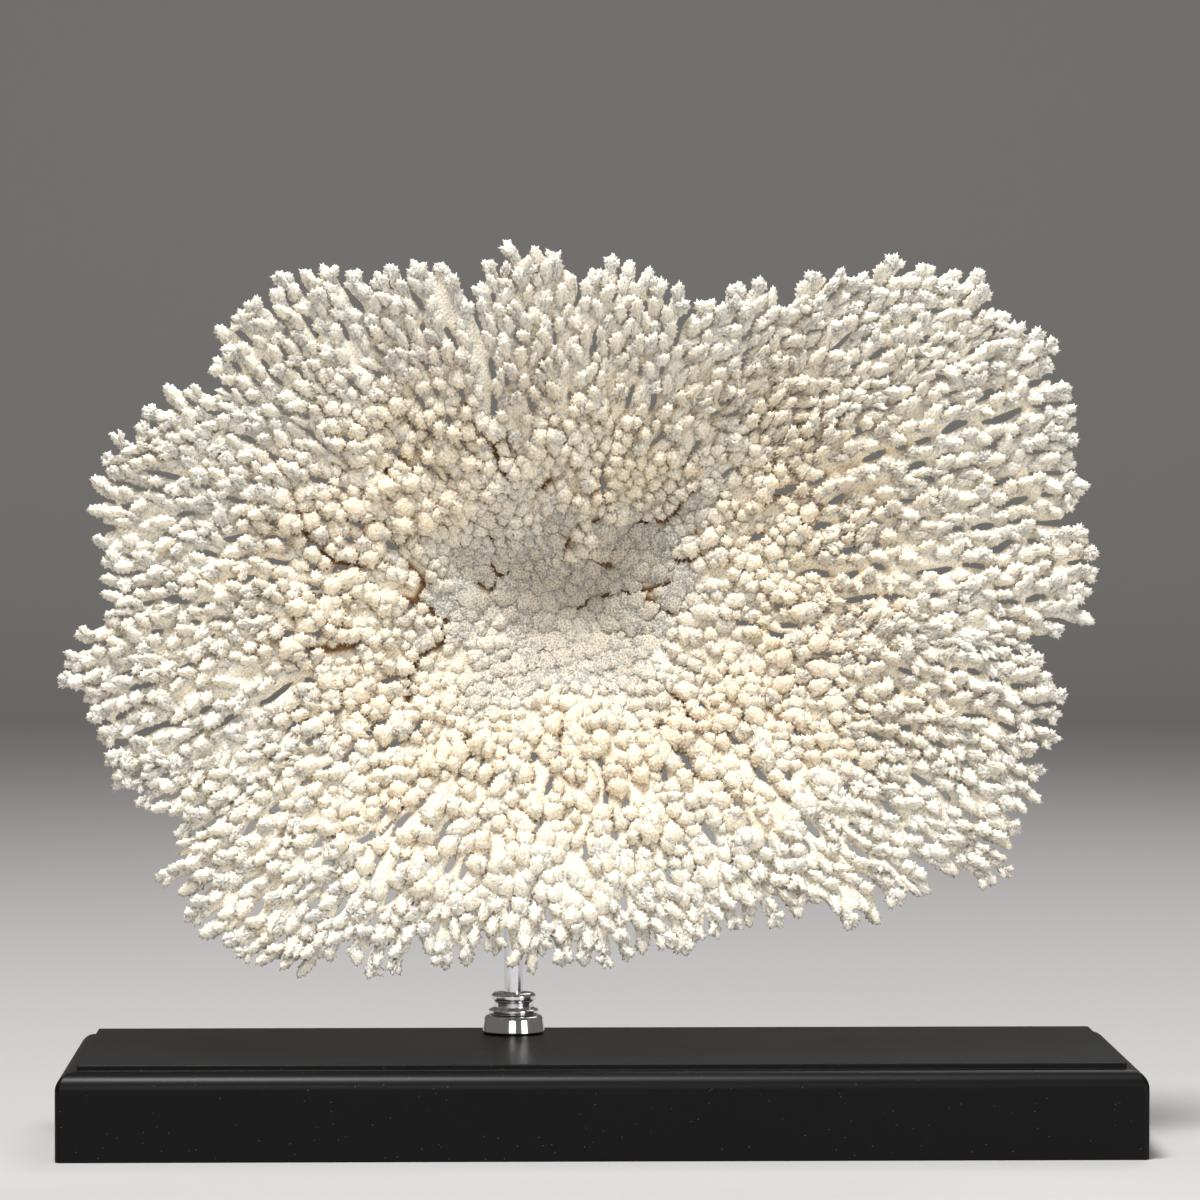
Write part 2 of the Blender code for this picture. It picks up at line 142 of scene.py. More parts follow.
# Notches between the fingers of the rim
NOTCH_HALF_WIDTHS = (0.0015, 0.0026)
NOTCH_LENGTHS = (0.008, 0.018)
NOTCH_EXTRA_WHERE_OPEN = 0.020

# How open the plate is between its branches, by compass direction in degrees from +X
OPEN_DIRECTIONS = [0, 40, 75, 105, 125, 150, 170, 195, 215, 240, 270, 300, 330, 360]
OPEN_SHARES = [0.78, 0.85, 0.72, 0.70, 0.88, 0.90, 0.78, 0.70, 0.70, 0.60, 0.40, 0.60, 0.78, 0.78]

# Plate between the knobs
MIDDLE_DEPTH = 0.0032
BODY_FRONT = 0.0032
BODY_BACK = 0.0050
BODY_BACK_AT_HUB = 0.0125
EDGE_ROUND = 0.0030
FAR_INSIDE = 0.006
LAST_SHARE = 1.02
FRONT_GROOVES = 0.80
RIDGED_SHARES = (0.20, 0.50)
BACK_GROOVES = 0.26
BACK_RIDGED_SHARES = (0.1, 0.3)
EDGE_PULL = 0.8
FUSED_SHARES = (0.35, 0.6)

# Low pads in the middle of the plate, then upright knobs around them: pitch, radii, lengths
PADS = (0.0086, (0.0040, 0.0068), (0.0012, 0.0034))
PAD_LIMIT = 0.25
PAD_DEPTH = 0.0006
KNOBS = (0.0070, (0.0018, 0.0048), (0.0042, 0.0084))
KNOB_LEVELS = (0.05, 0.27)
TRIANGLE_HEIGHT = 0.87
SCATTER = 0.17
KNOB_CLEARANCE = 0.85
CRACK_CLEARANCE = 0.4
BRANCHLET_CLEARANCE = 0.9
CLEARING_STEP = 0.002
KNOB_SINK = 0.0024
KNOB_SIZE_SPREAD = (1.3, 1.7)
KNOB_ROOM = 0.25
KNOB_SKIPS = 0.06
LOWER_SKIPS = 0.26
LOWER_SKIP_SHARES = (0.40, 0.60)
GROWN_LEVELS = (0.12, 0.38)
STUNTING = 0.60
UPRIGHT_LEVELS = (0.22, 0.44)
PATCH_SWELL = 0.16
PATCH_LENGTH = 0.18
LOWER_SWELL = 0.12
KNOB_LEANS = (0.10, 0.85)
LEAN_SHARES = (0.36, 0.85)
LEAN_SPREAD = (0.6, 1.3)
LOWER_UPRIGHTNESS = 0.35
KNOB_TURN = 0.4
KNOB_TILT = 0.20
KNOB_STRETCHES = (0.95, 1.45)

# Clump of larger knobs above and left of the middle
CLUMP_X = -0.092
CLUMP_Z = 0.335
CLUMP_HALF_WIDTH = 0.040
CLUMP_HALF_HEIGHT = 0.032
CLUMP_SWELL = 0.45

# A branchlet that stands up from the middle: places, radii and lengths in millimetres
BRANCHLET = [
    (-13, 302, 3.8, 5.0), (-8, 306, 4.4, 8.0), (-4, 311, 4.0, 10.0), (-10, 313, 3.6, 8.5),
    (-2, 304, 3.2, 7.0), (-6, 318, 2.8, 7.5),
]
BRANCHLET_STANCE = {
    "share": 0.30, "out": 0.9, "lean": 0.15, "side": 0.0, "stretch": 1.1, "hang": 0.0, "depth": 0.0,
}

# Where fingers take over from knobs, by compass direction in degrees from +X
FINGER_DIRECTIONS = [0, 40, 75, 105, 135, 165, 195, 225, 250, 290, 320, 360]
FINGER_STARTS = [0.48, 0.48, 0.60, 0.60, 0.74, 0.64, 0.56, 0.74, 0.86, 0.86, 0.74, 0.48]
FINGER_PATCH = 0.035
FINGER_OVERLAP = 0.03

# Leaning fingers further out, splayed to either side of their branch in turn
FINGER_PITCHES = (0.0056, 0.0094)
FINGER_RADII = (0.0020, 0.0029)
FINGER_HANG = 0.35
TIP_HANG = 0.85
FINGER_LENGTHS = (0.0080, 0.0150)
FINGER_LEANS = (0.80, 1.18)
FINGER_SPLAY = 0.42
SPLAY_ROOM = 0.45
SPLAY_SPREAD = (0.15, 1.0)
TIP_SPLAY = 0.4
FINGER_SHIFTS = (0.02, 0.14)
FINGER_TILT = 0.12
FINGER_CLEARANCE = 0.0009
THINNEST_FINGER = 0.0013
LOOK_AHEAD = 0.004
PATH_END = 0.001
TIP_LEANS = (1.12, 1.40)
TIP_LENGTHS = (0.0085, 0.0140)
FORK_CHANCE = 0.22
TIP_FORK_CHANCE = 0.75
FORK_SPLAYS = (0.50, 0.95)
FORK_RADII = (0.75, 0.92)
FORK_LENGTHS = (0.45, 0.70)
FORK_LEANS = (0.80, 1.0)
FORK_ROOT = 0.35

# How tan, grey and white the plate is: tan painted as shade in its grooves, cracks and crevices, most
# midway out, and grey painted as shade in the middle
INNER_TANS = (0.45, 1.0)
INNER_TAN_SHARES = (0.18, 0.36)
OUTER_TAN_SHARES = (0.46, 0.85)
RIM_PALENESS = 0.80
HUB_SHADE_SHARES = (0.17, 0.36)
GROOVE_SHADE = 0.80
RIDGE_SHADE_DROP = 0.62
CRACK_SHADE = 1.15
PLATE_CUP_WHITE = 0.45

# Form and colour of a knob, with tan painted as shade at its foot and between its cups
RAISED_LENGTHS = (0.001, 0.004)
SLENDER_LIMITS = (1.6, 3.2)
BLUNT_LENGTHS = (0.002, 0.005)
ROUNDNESSES = (2.0, 2.9)
FINGER_WAIST = 0.12
LOBE_COUNTS = (2, 5)
BROAD_LOBES = 0.13
FINE_LOBES = 0.09
KNOB_FOOT = 0.0030
KNOB_BEND = 0.10
KNOB_FOOT_SHADE = 0.72
FOOT_SHADE_LEVELS = (-0.15, 0.60)
CUP_VALLEY_SHADES = (0.42, 0.22)
VALLEY_LEVELS = (0.2, 0.9)
VALLEY_SHADE = 0.07
ALL_OVER_TAN = 0.16
GREY_OVER_TAN = 0.75
VALLEY_WHITE = 0.15
CUP_WHITES = (0.60, 1.0)
GREY_OVER_WHITE = 0.88
TAN_OVER_WHITE = 0.30

# Cups
CUP_SIZES = (0.60, 1.35)
CUP_HEIGHT = 0.00175
LEAST_CUPS = (0.22, 0.60)
SIDE_LEVELS = (0.05, 0.75)
TIP_LEVELS = (0.80, 1.0)
TIP_SHORTNESS = 0.45
PLATE_CUP_HEIGHT = 0.00065
PLATE_CUP_SHARES = (0.20, 0.36)
CUP_AREA = 3.0e-6
CUP_COUNTS = (14, 20, 26, 33, 41, 50)
SHAPES_PER_COUNT = 5
FOOT_POINTS = 5
FOOT_REACH = 0.6
FOOT_LEVEL = -0.8
LOWEST_CUP = -0.20
CUP_JITTER = 0.16
GOLDEN_ANGLE = math.pi * (3.0 - math.sqrt(5.0))

# Start of every random draw
SEED = 5

# Cracks in and around the smooth middle, as places in millimetres
CRACKS = [
    [(-56, 313), (-55, 299), (-52, 291), (-54, 283)],
    [(-52, 291), (-46, 292)],
    [(-54, 283), (-64, 288)],
    [(-104, 279), (-91, 277), (-80, 268), (-81, 257), (-91, 251), (-97, 242), (-99, 226)],
    [(-16, 310), (-14, 311), (-7, 316), (2, 320)],
    [(-16, 310), (-17, 301)],
    [(-12, 274), (1, 278), (14, 282), (26, 283), (38, 286)],
    [(2, 297), (12, 296)],
    [(42, 298), (53, 301)],
    [(45, 311), (50, 313)],
    [(42, 329), (49, 335)],
    [(26, 279), (38, 272)],
    [(8, 261), (14, 262)],
    [(-99, 297), (-90, 287), (-94, 278)],
    [(-31, 334), (-25, 341)],
    [(22, 319), (39, 320), (45, 329)],
    [(-28, 272), (-22, 271)],
    [(38, 232), (44, 224), (46, 216)],
    [(-70, 208), (-68, 200)],
    [(-156, 322), (-149, 310), (-137, 299), (-124, 297)],
    [(-172, 263), (-149, 253), (-121, 256)],
    [(-54, 364), (-52, 347), (-47, 342)],
]
CRACK_REACH = 0.0026
CRACK_DEPTH = 0.0034


# Plate surface

def on_spline(before, here, after, beyond, part):
    """Points part of the way from here to after, on the smooth curve through all four."""
    slope_in = 0.5 * (after - before)
    slope_out = 0.5 * (beyond - here)
    cubic = 2 * here - 2 * after + slope_in + slope_out
    square = -3 * here + 3 * after - 2 * slope_in - slope_out
    return ((cubic * part + square) * part + slope_in) * part + here


def closed_spline(points, places):
    """Points on the smooth closed curve through points, at places counted in points."""
    points = np.asarray(points)
    index = np.floor(places).astype(int)
    around = [points[(index + step) % len(points)] for step in (-1, 0, 1, 2)]
    return on_spline(*around, (places - index)[:, None])


def rim_tables():
    """The outline by turn: the clockwise angle from straight up, seen from the hub."""
    places = np.arange(0.0, len(RIM), RIM_STEP)
    outline = closed_spline(RIM, places)
    turns = np.unwrap(np.arctan2(outline[:, 0] - HUB_X, outline[:, 1] - HUB_Z))
    turns = np.maximum.accumulate(turns + 1e-7 * np.arange(len(turns)))
    return places, turns, outline


RIM_PLACES, RIM_TURNS, RIM_OUTLINE = rim_tables()
FULL_TURN = 2.0 * math.pi


def rim_at(turn):
    """The outline's point in the direction of a turn."""
    x = np.interp(turn, RIM_TURNS, RIM_OUTLINE[:, 0], period=FULL_TURN)
    z = np.interp(turn, RIM_TURNS, RIM_OUTLINE[:, 1], period=FULL_TURN)
    return x, z


def by_direction(turn, directions, values):
    """What a value, listed by compass direction in degrees from +X, is at a turn."""
    return np.interp((90.0 - np.degrees(turn)) % 360.0, directions, values)


def bow_at(turn):
    """How far the branches in a direction bow sideways on their way out."""
    return by_direction(turn, BOW_DIRECTIONS, BOW_SHARES)


def swirl(x, z):
    """The small shifts of a place that make the branches meander."""
    shifts = []
    for swirls in (SWIRLS_X, SWIRLS_Z):
        shift = np.zeros(np.shape(x))
        for length, size, heading, phase in swirls:
            angle = math.radians(heading)
            along = x * math.cos(angle) + z * math.sin(angle)
            shift = shift + size * np.sin(FULL_TURN * along / length + phase)
        shifts.append(shift)
    return shifts


def plate_xz(turn, share):
    """A point of the plate, at a turn and a share of the way out."""
    rim_x, rim_z = rim_at(turn)
    spoke_x = rim_x - HUB_X
    spoke_z = rim_z - HUB_Z
    bend = 2.0 * share * (1.0 - share) * bow_at(turn)
    x = HUB_X + share * spoke_x - bend * spoke_z
    z = HUB_Z + share * spoke_z + bend * spoke_x
    shift_x, shift_z = swirl(x, z)
    return x + shift_x, z + shift_z


def dish_depth(x, z):
    """How far back the plate's face lies."""
    out_x = x - HUB_X
    out_z = z - HUB_Z
    turn = np.arctan2(out_x, out_z)
    sine = np.abs(np.sin(turn)) / DISH_HALF_WIDTH
    cosine = np.abs(np.cos(turn)) / DISH_HALF_HEIGHT
    reach = (sine ** DISH_SQUARENESS + cosine ** DISH_SQUARENESS) ** (-1.0 / DISH_SQUARENESS)
    lift = np.cos(turn) * reach / RIM_LIFT
    hang = np.minimum(lift, 0.0)
    rim_y = RIM_DEPTH + RIM_LEAN * lift - RIM_HANG * hang * hang
    upper = 0.5 + 0.5 * np.cos(turn)
    power = DISH_POWER_BOTTOM + (DISH_POWER_TOP - DISH_POWER_BOTTOM) * upper
    share = np.hypot(out_x, out_z) / reach
    softened = share * np.tanh(share / DISH_FLOOR)
    rise = 1.0 - np.maximum(1.0 - softened, 0.0) ** power
    wave = WAVE_HEIGHT * np.cos(turn * WAVES_AROUND) * share * share
    return HUB_Y + (rim_y - HUB_Y) * rise + wave


def turn_and_share(x, z):
    """Which turn and share of the way out lead to a point: the plate's map, read backwards."""
    plain_x, plain_z = x, z
    for _ in range(4):
        shift_x, shift_z = swirl(plain_x, plain_z)
        plain_x, plain_z = x - shift_x, z - shift_z
    out_x = plain_x - HUB_X
    out_z = plain_z - HUB_Z
    seen_turn = np.arctan2(out_x, out_z)
    reach = np.hypot(out_x, out_z)
    turn = seen_turn.copy()
    share = np.full_like(turn, 0.5)
    for _ in range(10):
        slant = 2.0 * (1.0 - share) * bow_at(turn)
        stretched = spoke_length(turn) * np.sqrt(1.0 + slant * slant)
        share = np.minimum(reach / stretched, LARGEST_SHARE)
        turn = seen_turn + np.arctan(slant)
    return turn, share


def spoke_length(turn):
    """The distance from the hub's middle to the outline."""
    rim_x, rim_z = rim_at(turn)
    return np.hypot(rim_x - HUB_X, rim_z - HUB_Z)


def hub_share(turn):
    """The share of the way out at which the hub ends and the fans begin."""
    compass = 0.5 * math.pi - turn
    reach = HUB_REACH * (1.0 + HUB_LOBE_SHARE * np.sin(HUB_LOBES * compass))
    return reach / spoke_length(turn)


def smooth_step(low, high, value):
    """Rises from 0 at low to 1 at high, level at both ends."""
    part = np.clip((value - low) / (high - low), 0.0, 1.0)
    return part * part * (3.0 - 2.0 * part)


def unit(vectors):
    """Vectors of length one."""
    return vectors / np.linalg.norm(vectors, axis=-1, keepdims=True)


# Branches

SHARES = np.linspace(FIRST_SHARE, 1.0, ROWS)


def fan_edges():
    """The turns of the edges between fans, row by row, and their gently wandering lines."""
    places = np.array([place for _, place in FANS] + [FANS[0][1] + len(RIM)], dtype=float)
    turns = np.unwrap(np.interp(places % len(RIM), RIM_PLACES, RIM_TURNS))
    turns[-1] = turns[0] + FULL_TURN
    edges = np.repeat(turns[None, :], ROWS, axis=0)
    for index in range(len(FANS)):
        chance = random.Random(f"{SEED} edge {index}")
        reach = SHARES * spoke_length(turns[index])
        wave = sum(
            size * np.sin(reach / length + chance.uniform(0, FULL_TURN)) for length, size in EDGE_WAVES)
        edges[:, index] += EDGE_WANDER * wave / reach
    edges[:, -1] = edges[:, 0] + FULL_TURN
    return edges


def start_branches(turns, names, limits, edges, share, chance):
    """Starts a new branch in each gap of a row that is wide enough."""
    left, right = edges
    line = np.array([left, *turns, right])
    reach = share * spoke_length(0.5 * (line[1:] + line[:-1]))
    spans = np.diff(line) * reach / BRANCH_PITCH
    if spans[-1] > EDGE_LIMIT:
        turns.append(turns[-1] + EDGE_PART * (right - turns[-1]))
        names.append(max(names) + 1)
    for gap in range(len(spans) - 2, 0, -1):
        limit = limits.setdefault((names[gap - 1], names[gap]), chance.uniform(*FORK_LIMITS))
        if spans[gap] > limit:
            part = chance.uniform(*FORK_PARTS)
            turns.insert(gap, turns[gap - 1] + part * (turns[gap] - turns[gap - 1]))
            names.insert(gap, max(names) + 1)
    if spans[0] > EDGE_LIMIT:
        turns.insert(0, turns[0] - EDGE_PART * (turns[0] - left))
        names.insert(0, max(names) + 1)


def relaxed(turns, left, right):
    """A row's branches, moved a little towards even spacing."""
    line = np.array(turns)
    goal = line.copy()
    goal[1:-1] = 0.5 * (line[:-2] + line[2:])
    goal[0] = left + (line[1] - left) / 3.0
    goal[-1] = right - (right - line[-2]) / 3.0
    return line + RELAX * (goal - line)


def grow_fan(edges, chance):
    """Follows a fan's branches out from the hub. Returns each row's turns and branch numbers."""
    left, right = edges[0]
    reach = FIRST_SHARE * spoke_length(0.5 * (left + right))
    count = max(2, round((right - left) * reach / BRANCH_PITCH))
    turns = [left + (right - left) * (number + 0.5) / count for number in range(count)]
    names = list(range(count))
    limits = {}
    rows = []
    for row, share in enumerate(SHARES):
        start_branches(turns, names, limits, edges[row], share, chance)
        line = relaxed(turns, *edges[row])
        turns = line.tolist()
        rows.append((line, list(names)))
    return rows


def wander_rows(rows, chance):
    """Lets each branch wander a little to the sides."""
    waves = {}
    wandering = []
    for row, (turns, names) in enumerate(rows):
        moved = turns.copy()
        for place, name in enumerate(names):
            if name not in waves:
                waves[name] = (chance.uniform(*WANDER_WAVES), chance.uniform(0, FULL_TURN))
            length, phase = waves[name]
            reach = SHARES[row] * WANDER_REACH
            moved[place] += WANDER * math.sin(reach / length + phase) / reach
        wandering.append((np.sort(moved), names))
    return wandering


def opening_profile(birth, death, turn, chance):
    """Half the width of the gap beside a branch, row by row: slots, then the rim's notch."""
    profile = np.zeros(ROWS)
    row_length = spoke_length(turn) * (SHARES[1] - SHARES[0])
    openness = by_direction(turn, OPEN_DIRECTIONS, OPEN_SHARES)
    row = birth + int(FIRST_BRIDGE / row_length)
    while row < death - 4:
        share = SHARES[min(row, ROWS - 1)]
        length = int(chance.uniform(*SLOT_LENGTHS) / row_length)
        wanted = openness * smooth_step(*SLOT_LEVELS, share)
        if chance.random() < wanted and row + length < death - 3:
            width = chance.uniform(*SLOT_HALF_WIDTHS)
            along = (np.arange(length) + 0.5) / length
            profile[row:row + length] = width * np.sin(np.pi * along) ** 0.6
        row += length + int(chance.uniform(*SLOT_BRIDGES) / row_length)
    if death >= ROWS:
        longest = NOTCH_LENGTHS[1] + NOTCH_EXTRA_WHERE_OPEN * openness
        length = int(chance.uniform(NOTCH_LENGTHS[0], longest) / row_length)
        first = max(ROWS - length, birth)
        inside = ((np.arange(ROWS - first) + 0.5) / length) ** 0.45
        width = chance.uniform(*NOTCH_HALF_WIDTHS)
        profile[first:] = np.maximum(profile[first:], width * inside)
    return profile


def gap_profiles(rows, left_profile, right_profile, chance):
    """For each row, the half widths of the gaps before, between and after the branches."""
    spans = {}
    for row, (turns, names) in enumerate(rows):
        for place in range(1, len(names)):
            pair = (names[place - 1], names[place])
            first = spans.get(pair, (row, row, 0.0))[0]
            spans[pair] = (first, row + 1, float(turns[place]))
    profiles = {}
    for pair, (birth, death, turn) in sorted(spans.items()):
        profiles[pair] = opening_profile(birth, death, turn, chance)
    gaps = []
    for row, (_, names) in enumerate(rows):
        inner = [profiles[pair][row] for pair in zip(names, names[1:])]
        gaps.append(np.array([left_profile[row], *inner, right_profile[row]]))
    return gaps


def grow_plate():
    """Grows every fan. Returns the edges between fans, and each fan's rows, gaps and ends."""
    edges = fan_edges()
    edge_profiles = []
    for index in range(len(FANS)):
        chance = random.Random(f"{SEED} edge gap {index}")
        edge_profiles.append(opening_profile(EDGE_GAP_ROW, ROWS, edges[-1, index], chance))
    edge_profiles.append(edge_profiles[0])
    fans = []
    for index, (name, _) in enumerate(FANS):
        chance = random.Random(f"{SEED} {name}")
        rows = wander_rows(grow_fan(edges[:, index:index + 2], chance), chance)
        gaps = gap_profiles(rows, edge_profiles[index], edge_profiles[index + 1], chance)
        count = max(max(names) for _, names in rows) + 1
        cuts = np.array([TIP_ROOM + RIM_CUT * chance.random() ** 2 for _ in range(count)])
        depths = np.array([chance.uniform(-BRANCH_DEPTH, BRANCH_DEPTH) for _ in range(count)])
        fans.append({"rows": rows, "gaps": gaps, "cuts": cuts, "depths": depths})
    return edges, fans


# Fields over the lattice

def make_lattice():
    """The lattice's points, and the turn and share of the way out of each."""
    x, z = np.meshgrid(
        np.arange(GRID_LEFT, GRID_RIGHT, CELL), np.arange(GRID_LOW, GRID_HIGH, CELL), indexing="ij")
    rng = np.random.default_rng(SEED)
    x = x + rng.uniform(-CELL_JITTER, CELL_JITTER, x.shape)
    z = z + rng.uniform(-CELL_JITTER, CELL_JITTER, z.shape)
    turn, share = turn_and_share(x, z)
    return SimpleNamespace(x=x, z=z, turn=turn, share=share)


def line_across(turns, edges, index):
    """A row's branches as turns, with the mirror image of the outer ones past a fan's edges."""
    return np.r_[2 * edges[index] - turns[0], turns, 2 * edges[index + 1] - turns[-1]]


def rows_and_fans(lattice, edges):
    """Each point's turn, counted on from the first fan's edge, and its row and fan."""
    row = np.rint((lattice.share.ravel() - FIRST_SHARE) / (1.0 - FIRST_SHARE) * (ROWS - 1))
    row = np.clip(row, 0, ROWS - 1).astype(int)
    start = edges[row, 0]
    turn = start + (lattice.turn.ravel() - start) % FULL_TURN
    fan = np.zeros(len(turn), dtype=int)
    for index in range(1, len(FANS)):
        fan += turn >= edges[row, index]
    return turn, row, fan


def place_among_branches(lattice, edges, fans):
    """Finds each point's nearest branch, how far it is from it, and the gap beside it."""
    turn, row, fan = rows_and_fans(lattice, edges)
    scale = lattice.share.ravel() * spoke_length(turn)
    near, width, middle, opening = np.zeros((4, len(turn)))
    branch = np.zeros(len(turn), dtype=int)
    order = np.lexsort((row, fan))
    key = fan[order] * ROWS + row[order]
    starts = np.flatnonzero(np.r_[True, np.diff(key) > 0])
    for first, last in zip(starts, np.r_[starts[1:], len(key)]):
        points = order[first:last]
        fan_index, row_index = fan[points[0]], row[points[0]]
        turns, names = fans[fan_index]["rows"][row_index]
        gaps = fans[fan_index]["gaps"][row_index]
        line = line_across(turns, edges[row_index], fan_index)
        here = turn[points]
        gap = np.clip(np.searchsorted(line, here) - 1, 0, len(gaps) - 1)
        before = (here - line[gap]) * scale[points]
        after = (line[gap + 1] - here) * scale[points]
        near[points] = np.minimum(before, after)
        width[points] = before + after
        middle[points] = 0.5 * np.abs(before - after)
        opening[points] = gaps[gap]
        owners = np.array([names[0], *names, names[-1]])
        branch[points] = np.where(before < after, owners[gap], owners[gap + 1])
    found = {"fan": fan, "near": near, "width": width, "middle": middle, "opening": opening,
             "branch": branch}
    for name, values in found.items():
        setattr(lattice, name, values.reshape(lattice.x.shape))


def hold_together(kept):
    """Drops cells that touch the rest by a corner alone, or not at all."""
    for _ in range(4):
        this, right = kept[:-1, :-1], kept[1:, :-1]
        above, beyond = kept[:-1, 1:], kept[1:, 1:]
        rising = this & beyond & ~right & ~above
        falling = right & above & ~this & ~beyond
        kept[1:, 1:] &= ~rising
        kept[:-1, 1:] &= ~falling
    joined = np.zeros(kept.shape, dtype=bool)
    joined[round((HUB_X - GRID_LEFT) / CELL), round((HUB_Z - GRID_LOW) / CELL)] = True
    size = 0
    while joined.sum() > size:
        size = joined.sum()
        for _ in range(12):
            grown = joined.copy()
            grown[1:] |= joined[:-1]
            grown[:-1] |= joined[1:]
            grown[:, 1:] |= joined[:, :-1]
            grown[:, :-1] |= joined[:, 1:]
            joined = grown & kept
    return joined


def solid_field(lattice, fans):
    """How far each point is inside the coral, in metres: below zero in gaps and past tips."""
    cut = np.zeros(lattice.x.shape)
    depth = np.zeros(lattice.x.shape)
    for index, fan in enumerate(fans):
        here = lattice.fan == index
        cut[here] = fan["cuts"][lattice.branch[here]]
        depth[here] = fan["depths"][lattice.branch[here]]
    beyond = (lattice.share - 1.0) * spoke_length(lattice.turn) + cut
    tip_radius = np.minimum(TIP_SHARE * lattice.width, TIP_RADIUS)
    past = beyond + tip_radius
    tip = tip_radius - np.hypot(lattice.near, past)
    tip = np.where(past > 0.0, tip, FAR_INSIDE)
    slot = np.where(lattice.opening > 0.0, lattice.middle - lattice.opening, FAR_INSIDE)
    inside = np.minimum(np.minimum(tip, slot), FAR_INSIDE)
    inside[lattice.share > LAST_SHARE] = -FAR_INSIDE
    lattice.inside = inside
    lattice.branch_depth = depth


# Knobs

def finger_start(turn, x, z):
    """The share of the way out at which fingers take over from knobs, a little patchy."""
    start = by_direction(turn, FINGER_DIRECTIONS, FINGER_STARTS)
    return start + FINGER_PATCH * np.sin(x / 0.0060) * np.sin(z / 0.0052)


def crack_distance(x, z):
    """How far places are from the nearest crack."""
    nearest = np.full(np.shape(x), 1.0)
    for line in CRACKS:
        for (start_x, start_z), (end_x, end_z) in zip(line, line[1:]):
            ahead_x, ahead_z = 0.001 * (end_x - start_x), 0.001 * (end_z - start_z)
            off_x, off_z = x - 0.001 * start_x, z - 0.001 * start_z
            part = (off_x * ahead_x + off_z * ahead_z) / (ahead_x ** 2 + ahead_z ** 2)
            part = np.clip(part, 0.0, 1.0)
            nearest = np.minimum(nearest, np.hypot(off_x - part * ahead_x, off_z - part * ahead_z))
    return nearest


def branch_paths(fan, edges, index):
    """Each branch's line from row to row, with the room that it has on either side."""
    paths = {}
    for row, (turns, names) in enumerate(fan["rows"]):
        line = line_across(turns, edges[row], index)
        x, z = plate_xz(turns, SHARES[row])
        reach = SHARES[row] * spoke_length(0.5 * (line[1:] + line[:-1]))
        rooms = 0.5 * np.diff(line) * reach - fan["gaps"][row]
        for place, name in enumerate(names):
            entry = (row, x[place], z[place], rooms[place], rooms[place + 1])
            paths.setdefault(name, []).append(entry)
    return {name: np.array(entries) for name, entries in sorted(paths.items())}


def forked(finger, side, chance):
    """A shorter finger that starts part of the way up another and splays from it."""
    fork = dict(finger)
    up = FORK_ROOT * finger["length"]
    fork["x"] += up * math.sin(finger["lean"]) * math.cos(finger["out"])
    fork["z"] += up * math.sin(finger["lean"]) * math.sin(finger["out"])
    fork["depth"] -= up * math.cos(finger["lean"])
    fork["out"] += side * chance.uniform(*FORK_SPLAYS)
    fork["radius"] *= chance.uniform(*FORK_RADII)
    fork["length"] *= chance.uniform(*FORK_LENGTHS)
    fork["lean"] *= chance.uniform(*FORK_LEANS)
    return fork


def on_path(path, along, root):
    """Part of the way along a branch: its row, its place, the room beside it and its heading."""
    row, x, z, left, right = (float(np.interp(root, along, line)) for line in path.T)
    if root > along[-1] - PATH_END:
        ahead_x, ahead_z = x - HUB_X, z - HUB_Z
    else:
        ahead_x = float(np.interp(root + LOOK_AHEAD, along, path[:, 1])) - x
        ahead_z = float(np.interp(root + LOOK_AHEAD, along, path[:, 2])) - z
    return row, x, z, left, right, math.atan2(ahead_z, ahead_x)


def fingers_on_branch(path, cut, depth, index, chance):
    """Fingers along one branch from its tip inwards, some of them forked."""
    rows, xs, zs = path[:, 0], path[:, 1], path[:, 2]
    along = np.r_[0.0, np.cumsum(np.hypot(np.diff(xs), np.diff(zs)))]
    at_rim = rows[-1] == ROWS - 1
    fingers = []
    tip = along[-1] - (cut if at_rim else 0.0) + TIP_REACH
    side = chance.choice((-1.0, 1.0))
    while tip > 0.0:
        leads = at_rim and not fingers
        length = chance.uniform(*(TIP_LENGTHS if leads else FINGER_LENGTHS))
        lean = chance.uniform(*(TIP_LEANS if leads else FINGER_LEANS))
        root = min(max(tip - length * math.sin(lean), 0.0), along[-1] - cut * at_rim - PATH_END)
        row, x, z, left, right, out = on_path(path, along, root)
        share = float(np.interp(row, np.arange(ROWS), SHARES))
        if share < finger_start(math.atan2(x - HUB_X, z - HUB_Z), x, z) - FINGER_OVERLAP:
            break
        side = -side
        room = left + right
        splay = side * chance.uniform(*SPLAY_SPREAD) * min(FINGER_SPLAY, SPLAY_ROOM * room / length)
        splay *= TIP_SPLAY if leads else 1.0
        shift = 0.5 * (right - left) - side * room * chance.uniform(*FINGER_SHIFTS) * (not leads)
        place = (x + shift * math.sin(out), z - shift * math.cos(out))
        widest = max(0.5 * room - FINGER_CLEARANCE, THINNEST_FINGER)
        finger = {
            "x": place[0], "z": place[1], "base": place, "out": out + splay, "share": share,
            "depth": depth, "piece": index, "length": length, "lean": lean, "stretch": 1.0,
            "radius": min(chance.uniform(*FINGER_RADII), widest), "side": chance.gauss(0.0, FINGER_TILT),
            "hang": TIP_HANG if leads else FINGER_HANG,
        }
        fingers.append(finger)
        if chance.random() < (TIP_FORK_CHANCE if leads else FORK_CHANCE):
            fingers.append(forked(finger, side, chance))
            if leads and chance.random() < TIP_FORK_CHANCE:
                fingers.append(forked(finger, -side, chance))
        tip -= chance.uniform(*FINGER_PITCHES)
    return fingers


def at_lattice(field, x, z):
    """A field's values at the lattice points nearest to some places."""
    column = np.rint((x - GRID_LEFT) / CELL).astype(int)
    row = np.rint((z - GRID_LOW) / CELL).astype(int)
    return field[np.clip(column, 0, field.shape[0] - 1), np.clip(row, 0, field.shape[1] - 1)]


